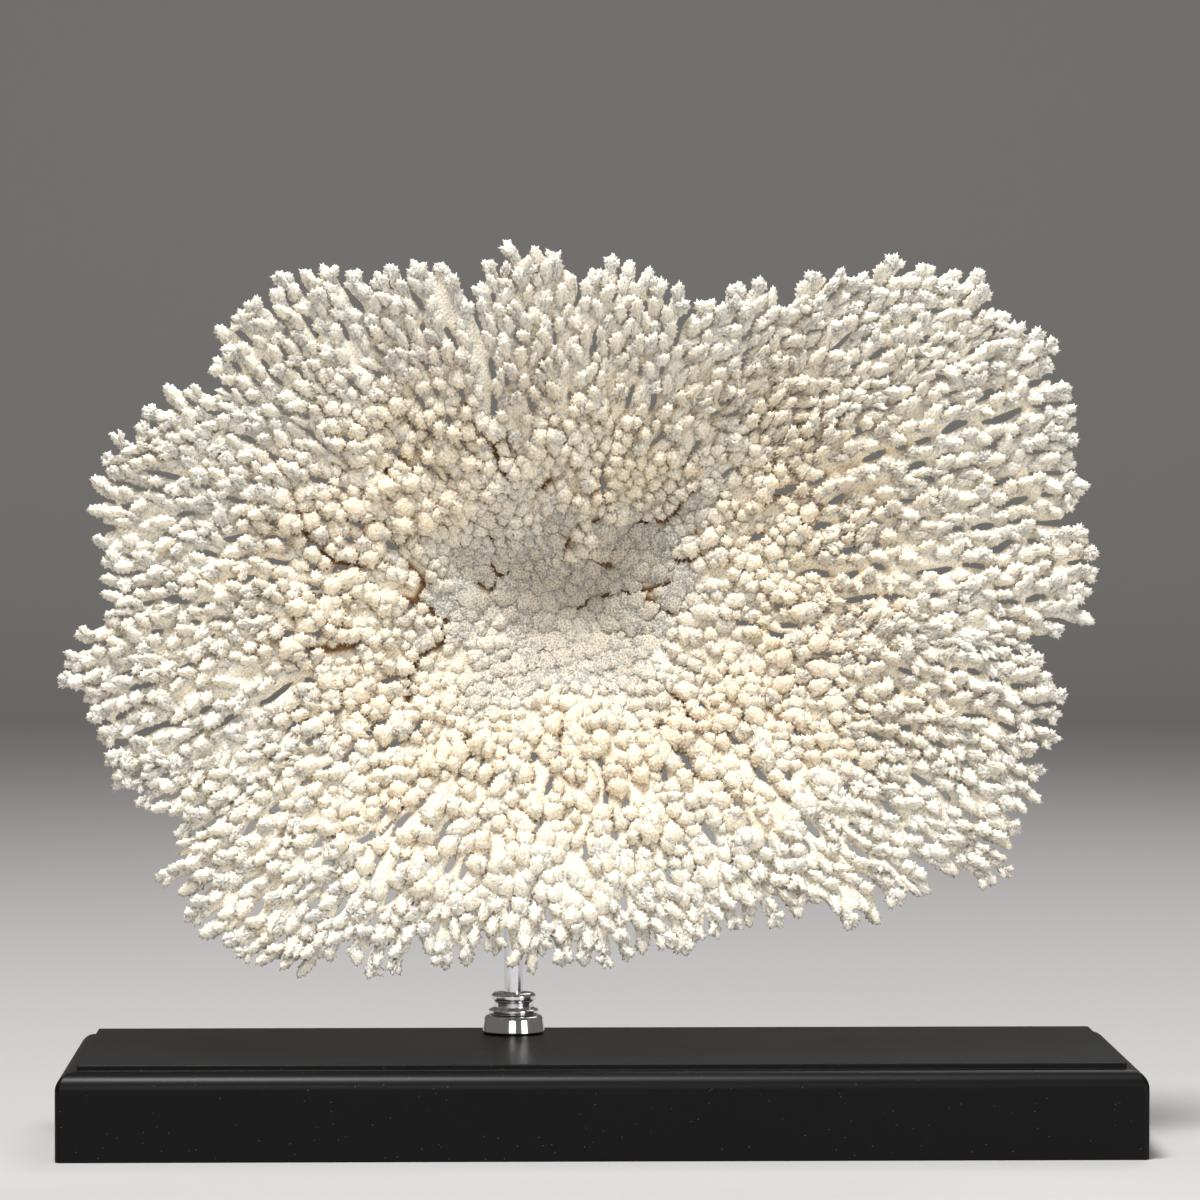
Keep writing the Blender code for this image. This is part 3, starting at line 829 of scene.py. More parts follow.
def scattered(pitch, rng):
    """Places on a grid of triangles over the lattice, each moved a little."""
    columns = np.arange(GRID_LEFT, GRID_RIGHT, pitch)
    rows = np.arange(GRID_LOW, GRID_HIGH, TRIANGLE_HEIGHT * pitch)
    x, z = np.meshgrid(columns, rows, indexing="ij")
    x = x + 0.5 * pitch * (np.arange(len(rows)) % 2)
    x = x.ravel() + rng.normal(0.0, SCATTER * pitch, x.size)
    return x, z.ravel() + rng.normal(0.0, SCATTER * pitch, z.size)


def between(limits, shares):
    """Values at shares of the way from the lower to the upper limit."""
    return limits[0] + (limits[1] - limits[0]) * shares


def unevenness(x, z):
    """How much further out, as a share, a place of the smooth middle's edge seems to lie."""
    broad = np.sin(x / 0.0150 + 1.2 * np.sin(z / 0.023)) * np.sin(z / 0.0130 + 0.6)
    return 0.065 * broad + 0.030 * np.sin(x / 0.0055 + 2.0) * np.sin(z / 0.0062)


def clear_of_gaps(x, z, radius, room):
    """Places, moved in a few small steps so that knobs there stand clear of gaps and cracks."""
    slope_x, slope_z = np.gradient(room, CELL)
    for _ in range(4):
        short = np.clip(KNOB_CLEARANCE * radius - at_lattice(room, x, z), 0.0, CLEARING_STEP)
        step_x, step_z = at_lattice(slope_x, x, z), at_lattice(slope_z, x, z)
        x, z = x + short * step_x, z + short * step_z
    return x, z


def patchiness(x, z):
    """Waves over the plate by which knobs grow larger or smaller."""
    return np.sin(x / 0.0083 + 2.0 * np.sin(z / 0.021)) * np.sin(z / 0.0071 + 1.0)


def clump_share(x, z):
    """How far places belong to the clump of larger knobs: 1 in its middle."""
    across = (x - CLUMP_X) / CLUMP_HALF_WIDTH
    up = (z - CLUMP_Z) / CLUMP_HALF_HEIGHT
    return np.exp(-(across ** 2 + up ** 2))


def kept_of_scatter(is_pad, x, z, turn, share, level, rng):
    """Which places of a scatter are used: pads in the middle, knobs from there to the fingers."""
    if is_pad:
        return level < PAD_LIMIT
    below = 0.5 - 0.5 * np.cos(turn)
    skips = KNOB_SKIPS + LOWER_SKIPS * below * smooth_step(*LOWER_SKIP_SHARES, share)
    kept = share < finger_start(turn, x, z)
    kept &= rng.random(x.size) < smooth_step(*KNOB_LEVELS, level)
    return kept & (rng.random(x.size) > skips)


def scatter_knobs(lattice, room, kind, rng, stretch_rng):
    """Pads or upright knobs over the inner plate, larger and longer in some places."""
    pitch, radii, lengths = kind
    is_pad = kind == PADS
    x, z = scattered(pitch, rng)
    radius = between(radii, rng.beta(*KNOB_SIZE_SPREAD, x.size))
    x, z = clear_of_gaps(x, z, radius, room)
    turn, share = turn_and_share(x, z)
    level = share + unevenness(x, z)
    kept = kept_of_scatter(is_pad, x, z, turn, share, level, rng)
    kept &= at_lattice(room, x, z) > KNOB_ROOM * radius
    below = 0.5 - 0.5 * np.cos(turn)
    grown = smooth_step(*GROWN_LEVELS, level)
    upright = smooth_step(*UPRIGHT_LEVELS, level) * (not is_pad)
    patchy = patchiness(x, z)
    size = 1.0 + CLUMP_SWELL * clump_share(x, z) + LOWER_SWELL * below * upright + PATCH_SWELL * patchy
    length = between(lengths, rng.random(x.size)) * size * (1.0 + PATCH_LENGTH * patchy)
    lean = between(KNOB_LEANS, smooth_step(*LEAN_SHARES, share) * (1.0 - LOWER_UPRIGHTNESS * below))
    values = {
        "x": x, "z": z, "share": share, "radius": radius * size,
        "base": np.stack([x, z], axis=1),
        "piece": np.where(share < hub_share(turn), HUB_PIECE, at_lattice(lattice.fan, x, z)),
        "out": np.arctan2(z - HUB_Z, x - HUB_X) + rng.normal(0.0, KNOB_TURN, x.size),
        "depth": at_lattice(lattice.branch_depth, x, z) * smooth_step(*FUSED_SHARES, share),
        "length": length * (1.0 - STUNTING * (1.0 - grown) * (not is_pad)),
        "lean": lean * rng.uniform(*LEAN_SPREAD, x.size) * upright,
        "side": rng.normal(0.0, KNOB_TILT, x.size) * upright,
        "stretch": stretch_rng.uniform(*KNOB_STRETCHES, x.size), "hang": np.zeros(x.size),
    }
    if is_pad:
        values["depth"] = rng.uniform(-PAD_DEPTH, PAD_DEPTH, x.size)
    rows = zip(*(values[key][kept].tolist() for key in values))
    return [dict(zip(values, row)) for row in rows]


def branchlet_knobs():
    """The knobs of the branchlet that stands up from the middle."""
    knobs = []
    for numbers in BRANCHLET:
        x, z, radius, length = (0.001 * number for number in numbers)
        knobs.append({
            "x": x, "z": z, "base": (x, z), "radius": radius, "length": length, "piece": HUB_PIECE,
            **BRANCHLET_STANCE})
    return knobs


def knobs_on_plate(lattice):
    """Pads and knobs clear of gaps and cracks, and the branchlet, which they leave room for."""
    room = np.minimum(lattice.inside, lattice.crack_distance - CRACK_CLEARANCE * CRACK_REACH)
    rng, stretch_rng = (np.random.default_rng(seed) for seed in (SEED, SEED + 1))
    knobs = scatter_knobs(lattice, room, PADS, rng, stretch_rng)
    knobs += scatter_knobs(lattice, room, KNOBS, rng, stretch_rng)
    branchlet = branchlet_knobs()
    clear = [knob for knob in knobs if all(
        math.dist(knob["base"], other["base"]) > BRANCHLET_CLEARANCE * other["radius"]
        for other in branchlet)]
    return clear + branchlet


def around_axis(radius, angle, height):
    """Points around an upright axis."""
    return np.stack([radius * np.cos(angle), radius * np.sin(angle), height + 0.0 * angle], axis=1)


def cup_shape(count, rng):
    """A round form whose corners are cups, each a small cone of triangles.

    Returns the directions of its points, how many are cups, and the triangles.
    """
    order = np.arange(count) + 0.5
    up = 1.0 - (1.0 - LOWEST_CUP) * order / count
    angle = GOLDEN_ANGLE * order + rng.uniform(-CUP_JITTER, CUP_JITTER, count)
    cups = around_axis(np.sqrt(1.0 - up * up), angle, up)
    foot_angle = FULL_TURN * np.arange(FOOT_POINTS) / FOOT_POINTS
    foot = around_axis(FOOT_REACH, foot_angle, FOOT_LEVEL)
    corners = np.concatenate([cups, foot])
    bm = bmesh.new()
    for corner in corners:
        bm.verts.new(corner)
    bmesh.ops.convex_hull(bm, input=bm.verts)
    bm.verts.index_update()
    bm.faces.index_update()
    centres = [corners[[vert.index for vert in face.verts]].mean(axis=0) for face in bm.faces]
    triangles = []
    for edge in bm.edges:
        for loop in edge.link_loops:
            start = loop.vert.index
            this = len(corners) + loop.face.index
            other = len(corners) + loop.link_loop_radial_next.face.index
            triangles.append((start, other, this))
    bm.free()
    return np.concatenate([corners, unit(np.array(centres))]), count, np.array(triangles)


def dish_frame(x, z):
    """The plate's depth at places, and its outward normal there."""
    nudge = 0.0005
    depth = dish_depth(x, z)
    slope_x = (dish_depth(x + nudge, z) - dish_depth(x - nudge, z)) / (2.0 * nudge)
    slope_z = (dish_depth(x, z + nudge) - dish_depth(x, z - nudge)) / (2.0 * nudge)
    normal = np.stack([slope_x, -np.ones_like(x), slope_z], axis=1)
    return depth, unit(normal)


def knob_axes(x, z, out, lean, side, hang):
    """The plate's depth under each knob, and the knob's two directions across and its axis."""
    plate, normal = dish_frame(x, z)
    ahead = np.stack([np.cos(out), np.zeros(len(x)), np.sin(out)], axis=1)
    ahead = unit(ahead - ((1.0 - hang) * (ahead * normal).sum(axis=1))[:, None] * normal)
    beside = unit(np.cross(normal, ahead))
    tilted = unit(np.cos(side)[:, None] * normal + np.sin(side)[:, None] * beside)
    axis = unit(np.cos(lean)[:, None] * tilted + np.sin(lean)[:, None] * ahead)
    first = unit(ahead - (ahead * axis).sum(axis=1)[:, None] * axis)
    return plate, (first, np.cross(axis, first), axis)


def knob_forms(shape, radius, length, stretch, raised, rng):
    """Each knob's points about its root: lobed, bent, and with its cups standing out."""
    directions, cups, _ = shape
    count = len(radius)
    up = directions[:, 2]
    around = np.arctan2(directions[:, 1], directions[:, 0])
    slender = smooth_step(*SLENDER_LIMITS, length / radius)
    roundness = between(ROUNDNESSES, smooth_step(*BLUNT_LENGTHS, length))
    ring = np.maximum(1.0 - np.abs(up) ** roundness, 0.0) ** (1.0 / roundness)
    ring = ring * (1.0 - FINGER_WAIST * slender * np.sin(7.0 * up + 1.5))
    lobes = rng.integers(*LOBE_COUNTS, count)[:, None]
    phase = rng.uniform(0.0, FULL_TURN, (count, 2))
    lobed = 1.0 + BROAD_LOBES * np.sin(lobes * around + phase[:, :1])
    lobed = lobed + FINE_LOBES * np.sin((lobes + 2) * around + 2.5 * up + phase[:, 1:])
    wide = radius * ring * lobed
    tall = np.where(up > 0.0, length, KNOB_FOOT) * up
    bend = slender * rng.normal(0.0, KNOB_BEND, (count, 2)) * length
    curve = np.maximum(up, 0.0) ** 2
    local = np.stack([wide * np.cos(around) * stretch + bend[:, :1] * curve,
                      wide * np.sin(around) + bend[:, 1:] * curve, tall], axis=2)

    sides = 1.0 - smooth_step(*SIDE_LEVELS, up[:cups])[None]
    tips = smooth_step(*TIP_LEVELS, up[:cups])[None]
    least = between(LEAST_CUPS, raised)
    reach = least + (1.0 - least) * np.maximum(sides, slender * (1.0 - TIP_SHORTNESS * tips))
    push = np.zeros((count, len(up)))
    push[:, :cups] = CUP_HEIGHT * rng.uniform(*CUP_SIZES, (count, cups)) * reach
    flat = np.minimum(length / radius, 1.0)
    sideways = directions[:, :2] / np.hypot(directions[:, 0], directions[:, 1])[:, None]
    spread = slender * (1.0 - up ** 8)
    facing = np.stack([
        (1.0 - spread) * directions[:, 0] * flat + spread * sideways[:, 0],
        (1.0 - spread) * directions[:, 1] * flat + spread * sideways[:, 1],
        (1.0 - spread) * (up + 0.25) + spread * (0.35 + 0.45 * up)], axis=2)
    return local + push[..., None] * unit(facing)


def knob_shades(up, cups, share, hub_shade):
    """How tan, how white and how grey each knob's points are: tan painted as shade at the foot and
    between the cups, grey painted as shade in the middle.
    """
    warm = warmth(share)
    lift = np.clip(up, LOWEST_CUP, 1.0)[None] * np.ones((len(share), 1))
    # Painted shade: tan at each knob's foot, then in the valleys between its cups, over a little tan all
    # over
    crevice = KNOB_FOOT_SHADE * (1.0 - smooth_step(*FOOT_SHADE_LEVELS, lift)) * warm
    crevice[:, cups:] += between(CUP_VALLEY_SHADES, smooth_step(*VALLEY_LEVELS, lift[:, cups:])) * warm
    crevice = crevice + ALL_OVER_TAN * warm + VALLEY_SHADE
    crevice = crevice * (1.0 - GREY_OVER_TAN * hub_shade)
    cup = np.full((len(share), len(up)), VALLEY_WHITE)
    cup[:, :cups] = between(CUP_WHITES, smooth_step(LOWEST_CUP, -LOWEST_CUP, lift[:, :cups]))
    cup *= (1.0 - GREY_OVER_WHITE * hub_shade) * (1.0 - TAN_OVER_WHITE * warm)
    grey = hub_shade * np.ones((1, len(up)))
    return {"crevice": crevice.ravel(), "cup": cup.ravel(), "grey": grey.ravel()}


def knob_mesh(knobs, shape, rng):
    """Points, triangles and shades of a group of knobs that share one shape."""
    directions, cups, triangles = shape
    x, z, out, radius, length, lean, side, share, depth, stretch, hang = (
        np.array([knob[key] for knob in knobs]) for key in (
            "x", "z", "out", "radius", "length", "lean", "side", "share", "depth", "stretch", "hang"))
    raised = smooth_step(*RAISED_LENGTHS, length)
    local = knob_forms(
        shape, radius[:, None], length[:, None], stretch[:, None], raised[:, None], rng)
    plate, axes = knob_axes(x, z, out, lean, side, hang)
    plate_shift = MIDDLE_DEPTH - BODY_FRONT + depth + KNOB_SINK * raised
    points = np.stack([x, plate + plate_shift, z], axis=1)[:, None, :]
    for number, axis in enumerate(axes):
        points = points + local[..., number, None] * axis[:, None, :]
    numbers = triangles[None] + (np.arange(len(knobs)) * len(directions))[:, None, None]
    hub_shade = hub_shade_share(share, x, z)
    shades = knob_shades(directions[:, 2], cups, share[:, None], hub_shade[:, None])
    return points.reshape(-1, 3), numbers.reshape(-1, 3), shades


def warmth(share):
    """How strongly tan is painted as shade in the crevices, and tints the knobs: little at the hub, most
    midway, little at the rim.
    """
    inner = between(INNER_TANS, smooth_step(*INNER_TAN_SHARES, share))
    return inner * (1.0 - RIM_PALENESS * smooth_step(*OUTER_TAN_SHARES, share))


def hub_shade_share(share, x, z):
    """How much grey is painted over the coral as shade: most in the smooth middle."""
    return 1.0 - smooth_step(*HUB_SHADE_SHARES, share + unevenness(x, z))


# Surfaces, front and back

def shape_surfaces(lattice):
    """Works out the front and the back point over each lattice point."""
    inside = lattice.inside
    share = lattice.share
    edge = np.sqrt(1.0 - (1.0 - np.clip(inside / EDGE_ROUND, 0.0, 1.0)) ** 2)
    across = np.clip(2.0 * lattice.middle / np.maximum(lattice.width, 1e-5), 0.0, 1.0)
    ridge = np.sqrt(np.maximum(1.0 - (1.0 - across) ** 2, 0.0))
    grooved = FRONT_GROOVES * smooth_step(*RIDGED_SHARES, share)
    front = BODY_FRONT * (1.0 - grooved * (1.0 - ridge)) * edge
    thick = BODY_BACK + (BODY_BACK_AT_HUB - BODY_BACK) * (1.0 - np.minimum(share, 1.0)) ** 2
    back_grooved = BACK_GROOVES * smooth_step(*BACK_RIDGED_SHARES, share)
    back = thick * (1.0 - back_grooved * (1.0 - ridge)) * edge
    middle = dish_depth(lattice.x, lattice.z) + MIDDLE_DEPTH
    middle = middle + lattice.branch_depth * ridge * smooth_step(*FUSED_SHARES, share)
    lattice.crack_distance = crack_distance(lattice.x, lattice.z)
    crack = 1.0 - smooth_step(0.0, 2.0 * CRACK_REACH, lattice.crack_distance)
    raised = np.indices(share.shape).sum(axis=0) % 2
    raised = raised * np.random.default_rng(SEED).uniform(0.4, 1.0, share.shape)
    raised = raised * smooth_step(*PLATE_CUP_SHARES, share) * edge
    front = front + PLATE_CUP_HEIGHT * raised - CRACK_DEPTH * crack
    lattice.front = np.stack([lattice.x, middle - front, lattice.z], axis=-1)
    lattice.back = np.stack([lattice.x, middle + back, lattice.z], axis=-1)
    # Painted shade: tan in the grooves between the ridges, darkest in the cracks
    lattice.crevice = np.maximum((GROOVE_SHADE - RIDGE_SHADE_DROP * ridge) * warmth(share), CRACK_SHADE * crack)
    # Grey painted as shade over the middle, but not in its cracks
    lattice.grey = hub_shade_share(share, lattice.x, lattice.z) * (1.0 - crack)
    lattice.cup = PLATE_CUP_WHITE * raised * (1.0 - crack)
    at_hub = share < hub_share(lattice.turn)
    lattice.piece = np.where(at_hub, HUB_PIECE, lattice.fan)


def corner_sums(field):
    """The sum of a field's values at the four corners of each cell."""
    return field[:-1, :-1] + field[1:, :-1] + field[1:, 1:] + field[:-1, 1:]


def pull_to_edge(lattice, kept):
    """Moves the points along every gap and tip onto the true edge, so it runs smooth."""
    inside = lattice.inside
    slope_x, slope_z = np.gradient(inside, CELL)
    around = corner_sums(np.pad(kept, 1).astype(int))
    on_edge = (around > 0) & (around < 4)
    step = np.where(on_edge, -inside / (slope_x ** 2 + slope_z ** 2 + 1e-9), 0.0)
    for axis, slope in ((0, slope_x), (2, slope_z)):
        move = np.clip(step * slope, -EDGE_PULL * CELL, EDGE_PULL * CELL)
        for points in (lattice.front, lattice.back):
            points[..., axis] += move


def corner_numbers(cells, columns):
    """The four lattice points of each cell, anticlockwise seen from the front."""
    first = cells[:, 0] * columns + cells[:, 1]
    return np.stack([first, first + columns, first + columns + 1, first + 1], axis=1)


BACK_BLOCKS = (4, 2, 1)
BACK_SHADES = {"crevice": 0.30, "grey": 0.25, "cup": 0.0}


def back_faces(mask, columns):
    """Faces of the back: large blocks of cells inside, small ones along the edges.

    A block's face also takes in the corners of smaller blocks along its sides.
    """
    free = mask.copy()
    corner = np.zeros((mask.shape[0] + 1, mask.shape[1] + 1), dtype=bool)
    blocks = []
    for size in BACK_BLOCKS:
        wide, high = mask.shape[0] // size, mask.shape[1] // size
        trimmed = free[:wide * size, :high * size]
        full = trimmed.reshape(wide, size, high, size).all(axis=(1, 3))
        trimmed &= ~np.kron(full, np.ones((size, size), dtype=bool))
        first = np.argwhere(full) * size
        for step_x, step_z in ((0, 0), (size, 0), (size, size), (0, size)):
            corner[first[:, 0] + step_x, first[:, 1] + step_z] = True
        blocks.append((size, first))
    faces = []
    for size, first in blocks:
        steps = range(size)
        ring = [(0, step) for step in steps] + [(step, size) for step in steps]
        ring += [(size, size - step) for step in steps] + [(size - step, 0) for step in steps]
        numbers = np.stack([(first[:, 0] + a) * columns + first[:, 1] + b for a, b in ring], axis=1)
        used = corner.ravel()[numbers]
        counts = used.sum(axis=1)
        for count in np.unique(counts):
            rows = counts == count
            faces.append(numbers[rows][used[rows]].reshape(-1, count))
    return faces


def wall_faces(mask, columns):
    """Side faces that join the front to the back along every edge of the mask."""
    padded = np.pad(mask, 1)
    inner = padded[1:-1, 1:-1]
    walls = []
    for shift, start, end in (((0, -1), 0, 1), ((1, 0), 1, 2), ((0, 1), 2, 3), ((-1, 0), 3, 0)):
        outer = np.roll(padded, (-shift[0], -shift[1]), axis=(0, 1))[1:-1, 1:-1]
        corners = corner_numbers(np.argwhere(inner & ~outer), columns)
        walls.append(np.stack([corners[:, start], corners[:, end]], axis=1))
    return np.concatenate(walls)


def part_shell(lattice, mask):
    """Builds one closed shell over a mask of cells: points, faces and the points' shades."""
    columns = lattice.x.shape[1]
    count = lattice.x.size
    walls = wall_faces(mask, columns)
    faces = [corner_numbers(np.argwhere(mask), columns)]
    faces += [group + count for group in back_faces(mask, columns)]
    faces.append(np.stack([walls[:, 1], walls[:, 0], walls[:, 0] + count, walls[:, 1] + count], axis=1))
    used = np.unique(np.concatenate([group.ravel() for group in faces]))
    lookup = np.full(2 * count, -1)
    lookup[used] = np.arange(len(used))
    points = np.concatenate([lattice.front.reshape(-1, 3), lattice.back.reshape(-1, 3)])[used]
    shades = {}
    for shade, behind in BACK_SHADES.items():
        values = np.concatenate([getattr(lattice, shade).ravel(), np.full(count, behind)])
        shades[shade] = values[used]
    flat = [False] * (len(faces) - 1) + [True]
    return points, [lookup[group] for group in faces], flat, shades


def mesh_from_arrays(name, points, faces, flat, shades):
    """Makes a mesh of arrays of points and faces, with shades stored on its points."""
    mesh = bpy.data.meshes.new(name)
    mesh.vertices.add(len(points))
    mesh.vertices.foreach_set("co", points.astype(np.float32).ravel())
    corners = np.concatenate([group.ravel() for group in faces])
    mesh.loops.add(len(corners))
    mesh.loops.foreach_set("vertex_index", corners.astype(np.int32))
    sizes = np.concatenate([np.full(len(group), group.shape[1]) for group in faces])
    mesh.polygons.add(len(sizes))
    starts = np.r_[0, np.cumsum(sizes)[:-1]]
    mesh.polygons.foreach_set("loop_start", starts.astype(np.int32))
    smooth = np.repeat([not plain for plain in flat], [len(group) for group in faces])
    mesh.polygons.foreach_set("use_smooth", smooth)
    mesh.update(calc_edges=True)
    for shade, values in shades.items():
        layer = mesh.attributes.new(shade, "FLOAT", "POINT")
        layer.data.foreach_set("value", values.astype(np.float32))
    return mesh


def add_object(name, data):
    """Puts a mesh, a light or a camera in the scene."""
    item = bpy.data.objects.new(name, data)
    bpy.context.scene.collection.objects.link(item)
    return item


def add_piece(name, mesh, material, slot, *nodes):
    """Puts a mesh in the scene in place of the solids that it stands for."""
    piece = add_object(name, mesh)
    mesh.materials.append(material)
    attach(piece, "root")
    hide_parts(*nodes)
    return piece


def join_rings(bm, near, far):
    """Adds the faces between two rings of points."""
    for step in range(len(near)):
        after = (step + 1) % len(near)
        bm.faces.new((near[step], near[after], far[after], far[step]))


def close_ring(bm, ring, middle):
    """Adds the triangles from a ring of points to its middle."""
    for step in range(len(ring)):
        bm.faces.new((ring[step], ring[(step + 1) % len(ring)], middle))


def finished_mesh(name, bm):
    """Makes a mesh of what has been built."""
    mesh = bpy.data.meshes.new(name)
    bm.to_mesh(mesh)
    bm.free()
    return mesh


# Stalk behind the hub, as in the solids: rings from its neck to the cut, as depths and swells
STALK_X = -0.030
STALK_Z = 0.262
STALK_HALF_WIDTH = 0.047
STALK_HALF_HEIGHT = 0.039
STALK_FLUTES = 7
STALK_FLUTE_DEPTH = 0.022
STALK_RINGS = [(0.066, 0.86), (0.087, 0.93), (0.0952, 0.955), (0.0968, 0.93)]
HUB_THICKNESS = 0.016
SHOULDER_SHARE = 0.55
SHOULDER_SWELL = 0.004
SADDLE_INSET = 0.0014

# Its ribs, its lumps and its rough cut, then the hole for the rod
STALK_STEPS = 144
STALK_LEVELS = 26
STALK_GRAIN = 0.0007
STALK_LUMPS = 0.0011
CUT_ROUGHNESS = 0.0005
CUT_RINGS = 12
CUT_SHARES = (0.92, 0.08)
HOLE_RADIUS = 0.0054
HOLE_TOP = 0.2564
HOLE_DEPTH = 0.120
ROD_X = -0.0435
ROD_Y = 0.063
STALK_CREVICE = 0.24


def stalk_turns():
    """The turns of the points around each of the stalk's rings."""
    return FULL_TURN * np.arange(STALK_STEPS) / STALK_STEPS


def stalk_lines():
    """The stalk's rings of points, from inside the hub's back to the cut."""
    turn = stalk_turns()
    compass = 0.5 * math.pi - turn
    edge_x, edge_z = plate_xz(turn, hub_share(turn))
    edge = np.stack([edge_x, dish_depth(edge_x, edge_z), edge_z], axis=1)
    rings = [edge + (0.0, 0.45 * HUB_THICKNESS, 0.0), edge + (0.0, HUB_THICKNESS, 0.0)]
    for depth, swell in STALK_RINGS:
        flute = 1.0 + STALK_FLUTE_DEPTH * np.cos(STALK_FLUTES * compass)
        ring_x = STALK_X + STALK_HALF_WIDTH * swell * flute * np.cos(compass)
        ring_z = STALK_Z + STALK_HALF_HEIGHT * swell * flute * np.sin(compass)
        rings.append(np.stack([ring_x, np.full(STALK_STEPS, depth), ring_z], axis=1))
    shoulder = rings[1] + SHOULDER_SHARE * (rings[2] - rings[1]) + (0.0, SHOULDER_SWELL, 0.0)
    rings.insert(2, shoulder)
    centre = np.array([STALK_X, 0.0, STALK_Z])
    rings[0] = rings[0] + SADDLE_INSET * unit(centre - rings[0])
    return np.array(rings)


def stalk_levels():
    """Finer rings through the stalk's own, swollen by ribs along it and broad lumps."""
    rings = stalk_lines()
    places = np.linspace(0.0, len(rings) - 1.0, STALK_LEVELS)
    index = np.minimum(places.astype(int), len(rings) - 2)
    before, beyond = np.maximum(index - 1, 0), np.minimum(index + 2, len(rings) - 1)
    part = (places - index)[:, None, None]
    levels = on_spline(rings[before], rings[index], rings[index + 1], rings[beyond], part)
    turn = stalk_turns()
    place = places[:, None]
    ribs = np.sin(23 * turn + 1.0) + 0.7 * np.sin(41 * turn + 3.0 + 0.3 * place)
    lumps = np.sin(3 * turn + 0.9 + 0.4 * place) + 0.8 * np.sin(5 * turn + 2.2)
    lumps = lumps + 0.6 * np.sin(11 * turn + 0.7 * place)
    fade = smooth_step(0.0, 0.3, np.linspace(0.0, 1.0, STALK_LEVELS))[:, None]
    swell = fade * (STALK_GRAIN * ribs + STALK_LUMPS * lumps)
    outward = unit((levels - (STALK_X, 0.0, STALK_Z)) * (1.0, 0.0, 1.0))
    return levels + swell[..., None] * outward


def stalk_mesh():
    """The stalk as a closed mesh, with a rough flat cut."""
    bm = bmesh.new()
    rows = [[bm.verts.new(point) for point in level] for level in stalk_levels()]
    for near, far in zip(rows, rows[1:]):
        join_rings(bm, near, far)
    close_ring(bm, rows[0], bm.verts.new((HUB_X, HUB_Y + 0.5 * BODY_BACK_AT_HUB, HUB_Z)))
    cut_middle = bm.verts.new((STALK_X, STALK_RINGS[-1][0], STALK_Z))
    inner = rows[-1]
    for share in np.linspace(*CUT_SHARES, CUT_RINGS):
        ring = [bm.verts.new(cut_middle.co.lerp(vert.co, share)) for vert in rows[-1]]
        for vert in ring:
            coarse = math.sin(vert.co.x / 0.0047 + 1.0) * math.sin(vert.co.z / 0.0041)
            fine = math.sin(vert.co.x / 0.0019) * math.sin(vert.co.z / 0.0023 + 2.0)
            vert.co.y += CUT_ROUGHNESS * (coarse + 0.6 * fine - 1.0)
        join_rings(bm, inner, ring)
        inner = ring
    close_ring(bm, inner, cut_middle)
    bmesh.ops.recalc_face_normals(bm, faces=bm.faces)
    return finished_mesh("stalk", bm)


def drilled_stalk():
    """Points, triangles and shades of the stalk with the rod's hole drilled in it."""
    stalk = add_object("stalk", stalk_mesh())
    hole = bmesh.new()
    bmesh.ops.create_cone(
        hole, cap_ends=True, segments=48, radius1=HOLE_RADIUS, radius2=HOLE_RADIUS, depth=HOLE_DEPTH)
    drill = add_object("drill", finished_mesh("drill", hole))
    drill.location = (ROD_X, ROD_Y, HOLE_TOP - 0.5 * HOLE_DEPTH)
    stalk.modifiers.new("rod_hole", "BOOLEAN").object = drill
    drilled = stalk.evaluated_get(bpy.context.evaluated_depsgraph_get()).to_mesh()
    drilled.calc_loop_triangles()
    points = np.array([vert.co for vert in drilled.vertices])
    triangles = np.array([triangle.vertices for triangle in drilled.loop_triangles])
    for item in (stalk, drill):
        bpy.data.objects.remove(item, do_unlink=True)
    shades = {"crevice": STALK_CREVICE, "grey": BACK_SHADES["grey"], "cup": 0.0}
    return points, triangles, {key: np.full(len(points), value) for key, value in shades.items()}


# Materials

# Colours of the skeleton: tan for random stains and painted shade, brown, grey and pit brown for painted
# shade; and the heights of its pits' walls as greys
IVORY = (0.88, 0.815, 0.685, 1.0)
TAN_STAIN_AND_SHADE = (0.83, 0.665, 0.445, 1.0)
BROWN_SHADE = (0.26, 0.130, 0.045, 1.0)
HUB_SHADE_GREY = (0.56, 0.515, 0.425, 1.0)
PIT_SHADE_BROWN = (0.30, 0.215, 0.125, 1.0)
CUP_WHITE = (0.95, 0.905, 0.805, 1.0)
HALF_HIGH = (0.45, 0.45, 0.45, 1.0)
HIGH = (1.0, 1.0, 1.0, 1.0)
LOW = (0.0, 0.0, 0.0, 1.0)
PITS_PER_METRE = 720.0

# Colours of the stand and the floor
CHROME = (0.80, 0.80, 0.82, 1.0)
SATIN_BLACK = (0.005, 0.005, 0.0056, 1.0)
DUST = (0.22, 0.21, 0.19, 1.0)
PALE_FLOOR = (0.50, 0.492, 0.485, 1.0)


def new_material(name):
    """A new material, its node tree and its shader."""
    material = bpy.data.materials.new(name)
    material.use_nodes = True
    return material, material.node_tree, material.node_tree.nodes["Principled BSDF"]


def set_inputs(tree, node, inputs):
    """Gives a node's inputs their values, or links them to the outputs of other nodes."""
    for key, value in inputs.items():
        if isinstance(value, bpy.types.NodeSocket):
            tree.links.new(value, node.inputs[key])
        else:
            node.inputs[key].default_value = value


def add_node(tree, kind, inputs, **settings):
    """Adds a shader node with its settings and inputs, and returns its outputs."""
    node = tree.nodes.new("ShaderNode" + kind)
    for key, value in settings.items():
        setattr(node, key, value)
    set_inputs(tree, node, inputs)
    return node.outputs


def add_math(tree, operation, *inputs):
    """Adds a maths node, and returns its output."""
    return add_node(tree, "Math", dict(enumerate(inputs)), operation=operation)["Value"]


def add_mix(tree, factor, first, second):
    """Adds a mix of two colours, and returns it."""
    return add_node(tree, "Mix", {"Factor": factor, "A": first, "B": second}, data_type="RGBA")["Result"]


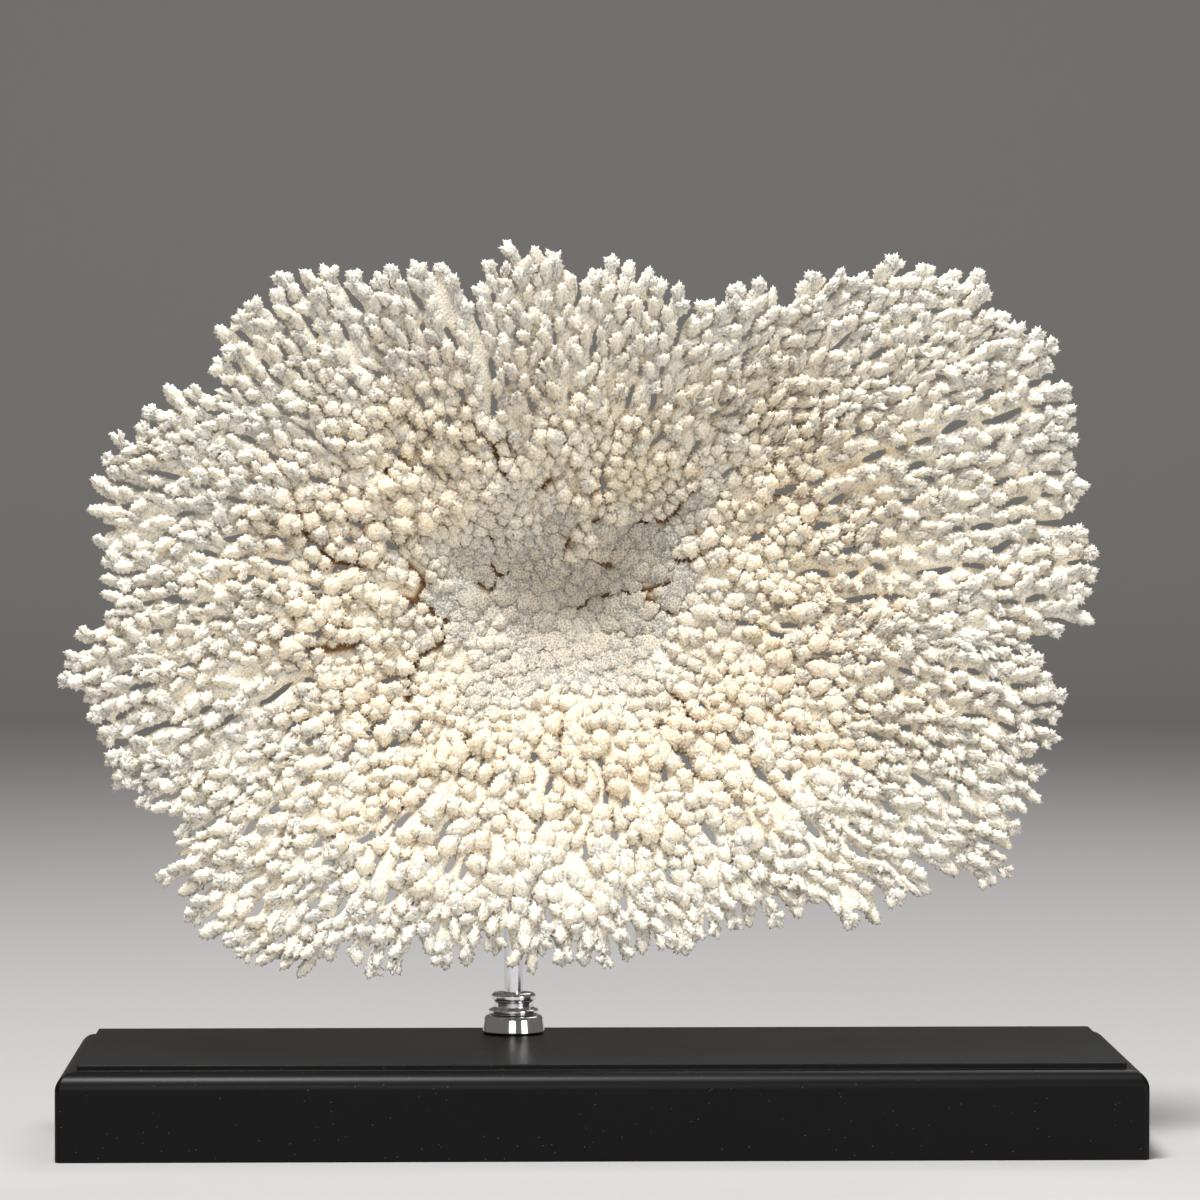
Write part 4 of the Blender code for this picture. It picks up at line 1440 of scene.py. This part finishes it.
def add_ramp(tree, amount, stops, interpolation="LINEAR"):
    """Adds a colour ramp through stops, each a place and a colour, and returns its colour."""
    node = tree.nodes.new("ShaderNodeValToRGB")
    ramp = node.color_ramp
    ramp.interpolation = interpolation
    for element, (place, colour) in zip(ramp.elements, (stops[0], stops[-1])):
        element.position = place
        element.color = colour
    for place, colour in stops[1:-1]:
        ramp.elements.new(place).color = colour
    tree.links.new(amount, node.inputs["Fac"])
    return node.outputs["Color"]


def coral_material():
    """Ivory skeleton, whiter on the cups. Painted shade: tan in the crevices, brown in the cracks and
    the pits, and grey in the middle, where the pits are darkest.
    """
    material, tree, shader = new_material("coral_skeleton")
    where = add_node(tree, "TexCoord", {})["Object"]
    crevice, cup, grey = (
        add_node(tree, "Attribute", {}, attribute_name=name)["Fac"]
        for name in ("crevice", "cup", "grey"))

    # Tan and brown painted as shade in the crevices and cracks, over random tan stains
    blotches = add_node(tree, "TexNoise", {"Vector": where, "Scale": 26.0, "Detail": 4.0})["Fac"]
    stain = add_math(tree, "MULTIPLY_ADD", blotches, 0.8, -0.38)
    amount = add_math(tree, "ADD", crevice, stain)
    tint = add_ramp(tree, amount, ((0.10, IVORY), (0.60, TAN_STAIN_AND_SHADE), (1.0, BROWN_SHADE)))
    # Grey painted as shade over the middle
    greyed = add_mix(tree, grey, tint, HUB_SHADE_GREY)

    apart = add_node(tree, "SeparateXYZ", {"Vector": where})
    face_on = add_node(tree, "CombineXYZ", {"X": apart["X"], "Y": apart["Z"]})["Vector"]
    pits = add_node(
        tree, "TexVoronoi", {"Vector": face_on, "Scale": PITS_PER_METRE, "Randomness": 0.95},
        voronoi_dimensions="2D")["Distance"]
    # Brown painted as shade in the pits, most in the middle and least on the cups
    hollow = add_node(tree, "MapRange", {"Value": pits, "From Min": 0.36, "From Max": 0.20})["Result"]
    most = add_math(tree, "MULTIPLY_ADD", grey, 0.36, 0.44)
    covered = add_math(tree, "MULTIPLY_ADD", cup, -1.0, 1.0)
    open_share = add_math(tree, "MULTIPLY", most, covered)
    pit_shade = add_math(tree, "MULTIPLY", hollow, open_share)
    plain = add_mix(tree, pit_shade, greyed, PIT_SHADE_BROWN)
    colour = add_mix(tree, add_math(tree, "MULTIPLY", cup, 0.90), plain, CUP_WHITE)

    grain = add_node(tree, "TexNoise", {"Vector": where, "Scale": 1900.0, "Detail": 2.0})["Fac"]
    calyx = add_ramp(tree, pits, ((0.0, HALF_HIGH), (0.24, HIGH), (0.70, LOW)), "EASE")
    relief = add_math(tree, "MULTIPLY_ADD", grain, 0.3, calyx)
    bump = add_node(tree, "Bump", {"Height": relief, "Strength": 0.50, "Distance": 0.00055})["Normal"]
    set_inputs(tree, shader, {
        "Base Color": colour, "Normal": bump, "Roughness": 0.78, "Specular IOR Level": 0.30,
        "Subsurface Weight": 0.56, "Subsurface Radius": (1.0, 0.88, 0.74), "Subsurface Scale": 0.0034})
    return material


def chrome_material():
    """Polished plating, very faintly uneven."""
    material, tree, shader = new_material("chrome_plate")
    where = add_node(tree, "TexCoord", {})["Object"]
    smudge = add_node(tree, "TexNoise", {"Vector": where, "Scale": 90.0, "Detail": 5.0})["Fac"]
    rough = add_node(tree, "MapRange", {"Value": smudge, "To Min": 0.04, "To Max": 0.16})["Result"]
    set_inputs(tree, shader, {"Base Color": CHROME, "Metallic": 1.0, "Roughness": rough})
    return material


def black_paint_material():
    """Satin black paint over wood, with dust on it."""
    material, tree, shader = new_material("black_satin_paint")
    where = add_node(tree, "TexCoord", {})["Object"]
    dust = add_node(tree, "TexVoronoi", {"Vector": where, "Scale": 260.0})["Distance"]
    specks = add_node(tree, "MapRange", {"Value": dust, "From Min": 0.055, "From Max": 0.035})["Result"]
    haze = add_node(tree, "TexNoise", {"Vector": where, "Scale": 14.0, "Detail": 6.0})["Fac"]
    rough = add_node(tree, "MapRange", {"Value": haze, "To Min": 0.30, "To Max": 0.38})["Result"]
    set_inputs(tree, shader, {
        "Base Color": add_mix(tree, specks, SATIN_BLACK, DUST), "Roughness": rough,
        "Specular IOR Level": 0.12})
    return material


def floor_material():
    """Plain pale paper."""
    material, tree, shader = new_material("pale_floor")
    set_inputs(tree, shader, {"Base Color": PALE_FLOOR, "Roughness": 0.9})
    return material


# Coral

def grow_knobs(lattice, kept, edges, fans):
    """All the knobs and fingers that are rooted in the plate."""
    knobs = knobs_on_plate(lattice)
    for index, fan in enumerate(fans):
        chance = random.Random(f"{SEED} fingers {index}")
        for name, path in branch_paths(fan, edges, index).items():
            knobs += fingers_on_branch(path, fan["cuts"][name], fan["depths"][name], index, chance)
    places = np.array([knob["base"] for knob in knobs])
    rooted = at_lattice(kept, places[:, 0], places[:, 1])
    return [knob for knob, holds in zip(knobs, rooted) if holds]


def cups_needed(knob):
    """Which of the cup counts suits a knob's size."""
    room = math.pi * knob["radius"] ** 2 + 4.0 * knob["radius"] * knob["length"]
    return min(CUP_COUNTS, key=lambda count: abs(count * CUP_AREA - room))


def group_knobs(knobs, rng):
    """Makes the cup shapes, and sorts the knobs by piece and by shape. Returns both."""
    shapes = {(count, number): cup_shape(count, rng)
              for count in CUP_COUNTS for number in range(SHAPES_PER_COUNT)}
    groups = {}
    for number, knob in enumerate(knobs):
        shape = (cups_needed(knob), number % SHAPES_PER_COUNT)
        groups.setdefault((knob["piece"], shape), []).append(knob)
    return sorted(groups.items()), shapes


def make_coral(material):
    """Grows the plate and its knobs, and parts them into the hub and the fans."""
    edges, fans = grow_plate()
    lattice = make_lattice()
    place_among_branches(lattice, edges, fans)
    solid_field(lattice, fans)
    shape_surfaces(lattice)
    kept = hold_together(corner_sums(lattice.inside) > 0.0)
    knobs = grow_knobs(lattice, kept, edges, fans)
    pull_to_edge(lattice, kept)

    rng = np.random.default_rng(SEED)
    groups, shapes = group_knobs(knobs, rng)
    piece = lattice.piece[:-1, :-1]
    names = [name for name, _ in FANS] + ["coral_hub"]
    for index, name in enumerate(names):
        points, faces, flat, shades = part_shell(lattice, kept & (piece == index))
        extras = [knob_mesh(members, shapes[shape], rng)
                  for (owner, shape), members in groups if owner == index]
        if index == HUB_PIECE:
            extras.append(drilled_stalk())
        for more_points, triangles, more_shades in extras:
            faces.append(triangles + len(points))
            flat.append(False)
            points = np.concatenate([points, more_points])
            shades = {key: np.concatenate([shades[key], more_shades[key]]) for key in shades}
        mesh = mesh_from_arrays(name + "_skeleton", points, faces, flat, shades)
        add_piece(name + "_skeleton", mesh, material, "coral", name)


# Stand

PLINTH_WIDTH = 0.550
PLINTH_DEPTH = 0.205
SLAB_HEIGHT = 0.045
OVOLO_RADIUS = 0.0095
PANEL_INSET = 0.0105
PANEL_RISE = 0.003
PANEL_MARGIN = 0.02
LEDGE_WIDTH = 0.0008
CORNER_RADIUS = 0.0030
SHARPEST_CORNER = 0.0008
CORNER_STEPS = 6
OVOLO_STEPS = 14
EDGE_RADIUS = 0.0007

# Rod and its foot: outlines as radii and heights, from the top down
ROD_RADIUS = 0.005
ROD_TOP = 0.256
ROD_ROUNDING = 0.0006
FOOT_ROUNDING = 0.00045
TOUCH_GAP = 0.0003
TURNED_STEPS = 72
SHARP_ANGLE = math.radians(35.0)
FLANGE_HEIGHT = 0.0095
FLANGE_OUTLINE = [
    (0.0132, FLANGE_HEIGHT), (0.0148, 0.0090), (0.0154, 0.0078), (0.0160, 0.0040),
    (0.0165, 0.0008), (0.0162, 0.0),
]
COLLAR_OUTLINE = [
    (0.0105, 0.0115), (0.0117, 0.0103), (0.0117, 0.0079), (0.0105, 0.0069),
    (0.0105, 0.0038), (0.0132, 0.0026), (0.0132, 0.0006), (0.0126, 0.0),
]


def rounded(outline, radius):
    """An open outline with each of its corners turned into a small curve."""
    line = [outline[0]]
    for before, corner, after in zip(outline, outline[1:], outline[2:]):
        before, corner, after = (np.array(point) for point in (before, corner, after))
        into, away = corner - before, after - corner
        start = corner - into * min(radius / np.linalg.norm(into), 0.45)
        end = corner + away * min(radius / np.linalg.norm(away), 0.45)
        for part in (0.0, 0.25, 0.5, 0.75, 1.0):
            mixed = (1 - part) ** 2 * start + 2 * part * (1 - part) * corner + part ** 2 * end
            line.append(tuple(mixed))
    return line + [outline[-1]]


def stand_piece(name, mesh, material, slot):
    """Smooths a mesh of the stand, but for its large flat faces, and puts it in the scene."""
    for face in mesh.polygons:
        face.use_smooth = True
    mesh.set_sharp_from_angle(angle=SHARP_ANGLE)
    piece = add_piece(name + "_finished", mesh, material, slot, name)
    piece.modifiers.new("even_shading", "WEIGHTED_NORMAL").keep_sharp = True


def ring_mesh(name, rings, closed_loop):
    """A mesh through rings of points: capped at both ends, or joined into a loop."""
    bm = bmesh.new()
    rows = [[bm.verts.new(point) for point in ring] for ring in rings]
    pairs = list(zip(rows, rows[1:]))
    if closed_loop:
        pairs.append((rows[-1], rows[0]))
    else:
        bm.faces.new(rows[0])
        bm.faces.new(rows[-1])
    for low, high in pairs:
        join_rings(bm, low, high)
    bmesh.ops.recalc_face_normals(bm, faces=bm.faces)
    return finished_mesh(name, bm)


def turned_rings(outline):
    """Rings around the rod's axis at each point of an outline: radius and height."""
    angle = FULL_TURN * np.arange(TURNED_STEPS) / TURNED_STEPS
    return [around_axis(radius, angle, height) + (ROD_X, ROD_Y, 0.0) for radius, height in outline]


def plinth_ring(inset, height):
    """The plinth's outline at a height: a rectangle with slightly rounded corners."""
    radius = max(CORNER_RADIUS - 0.5 * inset, SHARPEST_CORNER)
    half_width = 0.5 * PLINTH_WIDTH - inset - radius
    half_depth = 0.5 * PLINTH_DEPTH - inset - radius
    ring = []
    for quarter, (side_x, side_y) in enumerate(((1, 1), (-1, 1), (-1, -1), (1, -1))):
        for step in range(CORNER_STEPS + 1):
            angle = 0.5 * math.pi * (quarter + step / CORNER_STEPS)
            x = side_x * half_width + radius * math.cos(angle)
            y = side_y * half_depth + radius * math.sin(angle)
            ring.append((x, y, height))
    return ring


def make_plinth(paint):
    """The moulded plinth: a quarter-round edge, then a raised panel."""
    top = SLAB_HEIGHT + PANEL_RISE
    line = [(EDGE_RADIUS, 0.0), (0.0, EDGE_RADIUS)]
    for step in range(OVOLO_STEPS + 1):
        angle = 0.5 * math.pi * step / OVOLO_STEPS
        inset = OVOLO_RADIUS * (1.0 - math.cos(angle))
        line.append((inset, SLAB_HEIGHT - OVOLO_RADIUS * (1.0 - math.sin(angle))))
    line += rounded([(PANEL_INSET - LEDGE_WIDTH, SLAB_HEIGHT), (PANEL_INSET, SLAB_HEIGHT),
                     (PANEL_INSET, top), (PANEL_INSET + PANEL_MARGIN, top)], EDGE_RADIUS)
    mesh = ring_mesh("plinth", [plinth_ring(inset, height) for inset, height in line], False)
    stand_piece("plinth", mesh, paint, "black_paint")


def make_rod_and_foot(chrome):
    """The flange, the collar over it and the rod, turned smooth."""
    bore = ROD_RADIUS + TOUCH_GAP
    floor = SLAB_HEIGHT + PANEL_RISE + TOUCH_GAP
    for name, outline, base in (
            ("flange", FLANGE_OUTLINE, floor),
            ("collar", COLLAR_OUTLINE, floor + FLANGE_HEIGHT + TOUCH_GAP)):
        profile = rounded([(bore, outline[0][1]), *outline, (bore, 0.0)], FOOT_ROUNDING)
        rings = turned_rings([(radius, base + height) for radius, height in profile])
        stand_piece(name, ring_mesh(name, rings, True), chrome, "chrome")
    ends = [(0.5 * ROD_RADIUS, ROD_TOP), (ROD_RADIUS, ROD_TOP), (ROD_RADIUS, floor)]
    rings = turned_rings(rounded(ends, ROD_ROUNDING))
    stand_piece("rod", ring_mesh("rod", rings, False), chrome, "chrome")


# Studio

STUDIO_HALF_WIDTH = 6.0
STUDIO_FRONT = -4.5
STUDIO_BEND = 4.5
STUDIO_TOP = 7.0
BEND_RADIUS = 1.5
BEND_STEPS = 12

# Soft lights high above the front, at the right, in front and behind: place, size and power
LIGHTS = [
    ("key_light", (-0.40, -0.85, 2.75), 0.8, 96.0),
    ("side_light", (1.7, -1.9, 0.55), 0.9, 16.0),
    ("front_light", (-0.4, -3.6, 1.6), 1.6, 30.0),
    ("back_light", (0.9, 1.9, 2.2), 1.2, 18.0),
]
LIT_PLACE = (0.0, 0.0, 0.27)
AMBIENT_COLOUR = (0.80, 0.76, 0.70, 1.0)
AMBIENT_STRENGTH = 0.20

# Camera, with the pixel of the photograph that lies level and straight ahead of it
CAMERA_PLACE = (-0.07275, -3.0525, 0.3665)
CLIP_END = 30.0
SENSOR_WIDTH = 36.0
PHOTO_PIXELS = 1200.0
FOCAL_PIXELS = 5900.0
AHEAD_PIXEL_X = 458.0
AHEAD_PIXEL_Y = 431.0


def make_studio():
    """A pale seamless floor and backdrop."""
    profile = [(STUDIO_FRONT, 0.0), (STUDIO_BEND, 0.0)]
    for step in range(1, BEND_STEPS + 1):
        angle = math.radians(90.0) * step / BEND_STEPS
        back = STUDIO_BEND + BEND_RADIUS * math.sin(angle)
        profile.append((back, BEND_RADIUS * (1.0 - math.cos(angle))))
    profile.append((STUDIO_BEND + BEND_RADIUS, STUDIO_TOP))
    bm = bmesh.new()
    left, right = ([bm.verts.new((x, y, z)) for y, z in profile]
                   for x in (-STUDIO_HALF_WIDTH, STUDIO_HALF_WIDTH))
    for step in range(len(profile) - 1):
        bm.faces.new((left[step], right[step], right[step + 1], left[step + 1]))
    mesh = finished_mesh("studio_floor", bm)
    for face in mesh.polygons:
        face.use_smooth = True
    floor = add_object("studio_floor", mesh)
    mesh.materials.append(floor_material())


def area_light(name, place, size, power):
    """A soft square light aimed at the coral."""
    light = bpy.data.lights.new(name, "AREA")
    light.size = size
    light.energy = power
    lamp = add_object(name, light)
    lamp.location = place
    lamp.rotation_euler = (Vector(LIT_PLACE) - Vector(place)).to_track_quat("-Z", "Y").to_euler()


def make_lights():
    """The soft lights, and a faint even light from all around."""
    for light in LIGHTS:
        area_light(*light)
    world = bpy.data.worlds.new("studio")
    world.use_nodes = True
    background = world.node_tree.nodes["Background"]
    set_inputs(world.node_tree, background, {"Color": AMBIENT_COLOUR, "Strength": AMBIENT_STRENGTH})
    bpy.context.scene.world = world


def make_camera():
    """The photograph's viewpoint: nearly level, three metres away, with a long lens."""
    camera = bpy.data.cameras.new("camera")
    camera.sensor_width = SENSOR_WIDTH
    camera.lens = SENSOR_WIDTH * FOCAL_PIXELS / PHOTO_PIXELS
    camera.clip_end = CLIP_END
    view = add_object("camera", camera)
    view.location = CAMERA_PLACE
    yaw = math.atan2(0.5 * PHOTO_PIXELS - AHEAD_PIXEL_X, FOCAL_PIXELS)
    pitch = math.atan2(0.5 * PHOTO_PIXELS - AHEAD_PIXEL_Y, FOCAL_PIXELS)
    view.rotation_euler = (math.radians(90.0) - pitch, 0.0, -yaw)
    bpy.context.scene.camera = view


make_camera()
make_studio()
make_lights()
make_coral(coral_material())
make_plinth(black_paint_material())
make_rod_and_foot(chrome_material())
bpy.context.scene.view_settings.view_transform = "Standard"
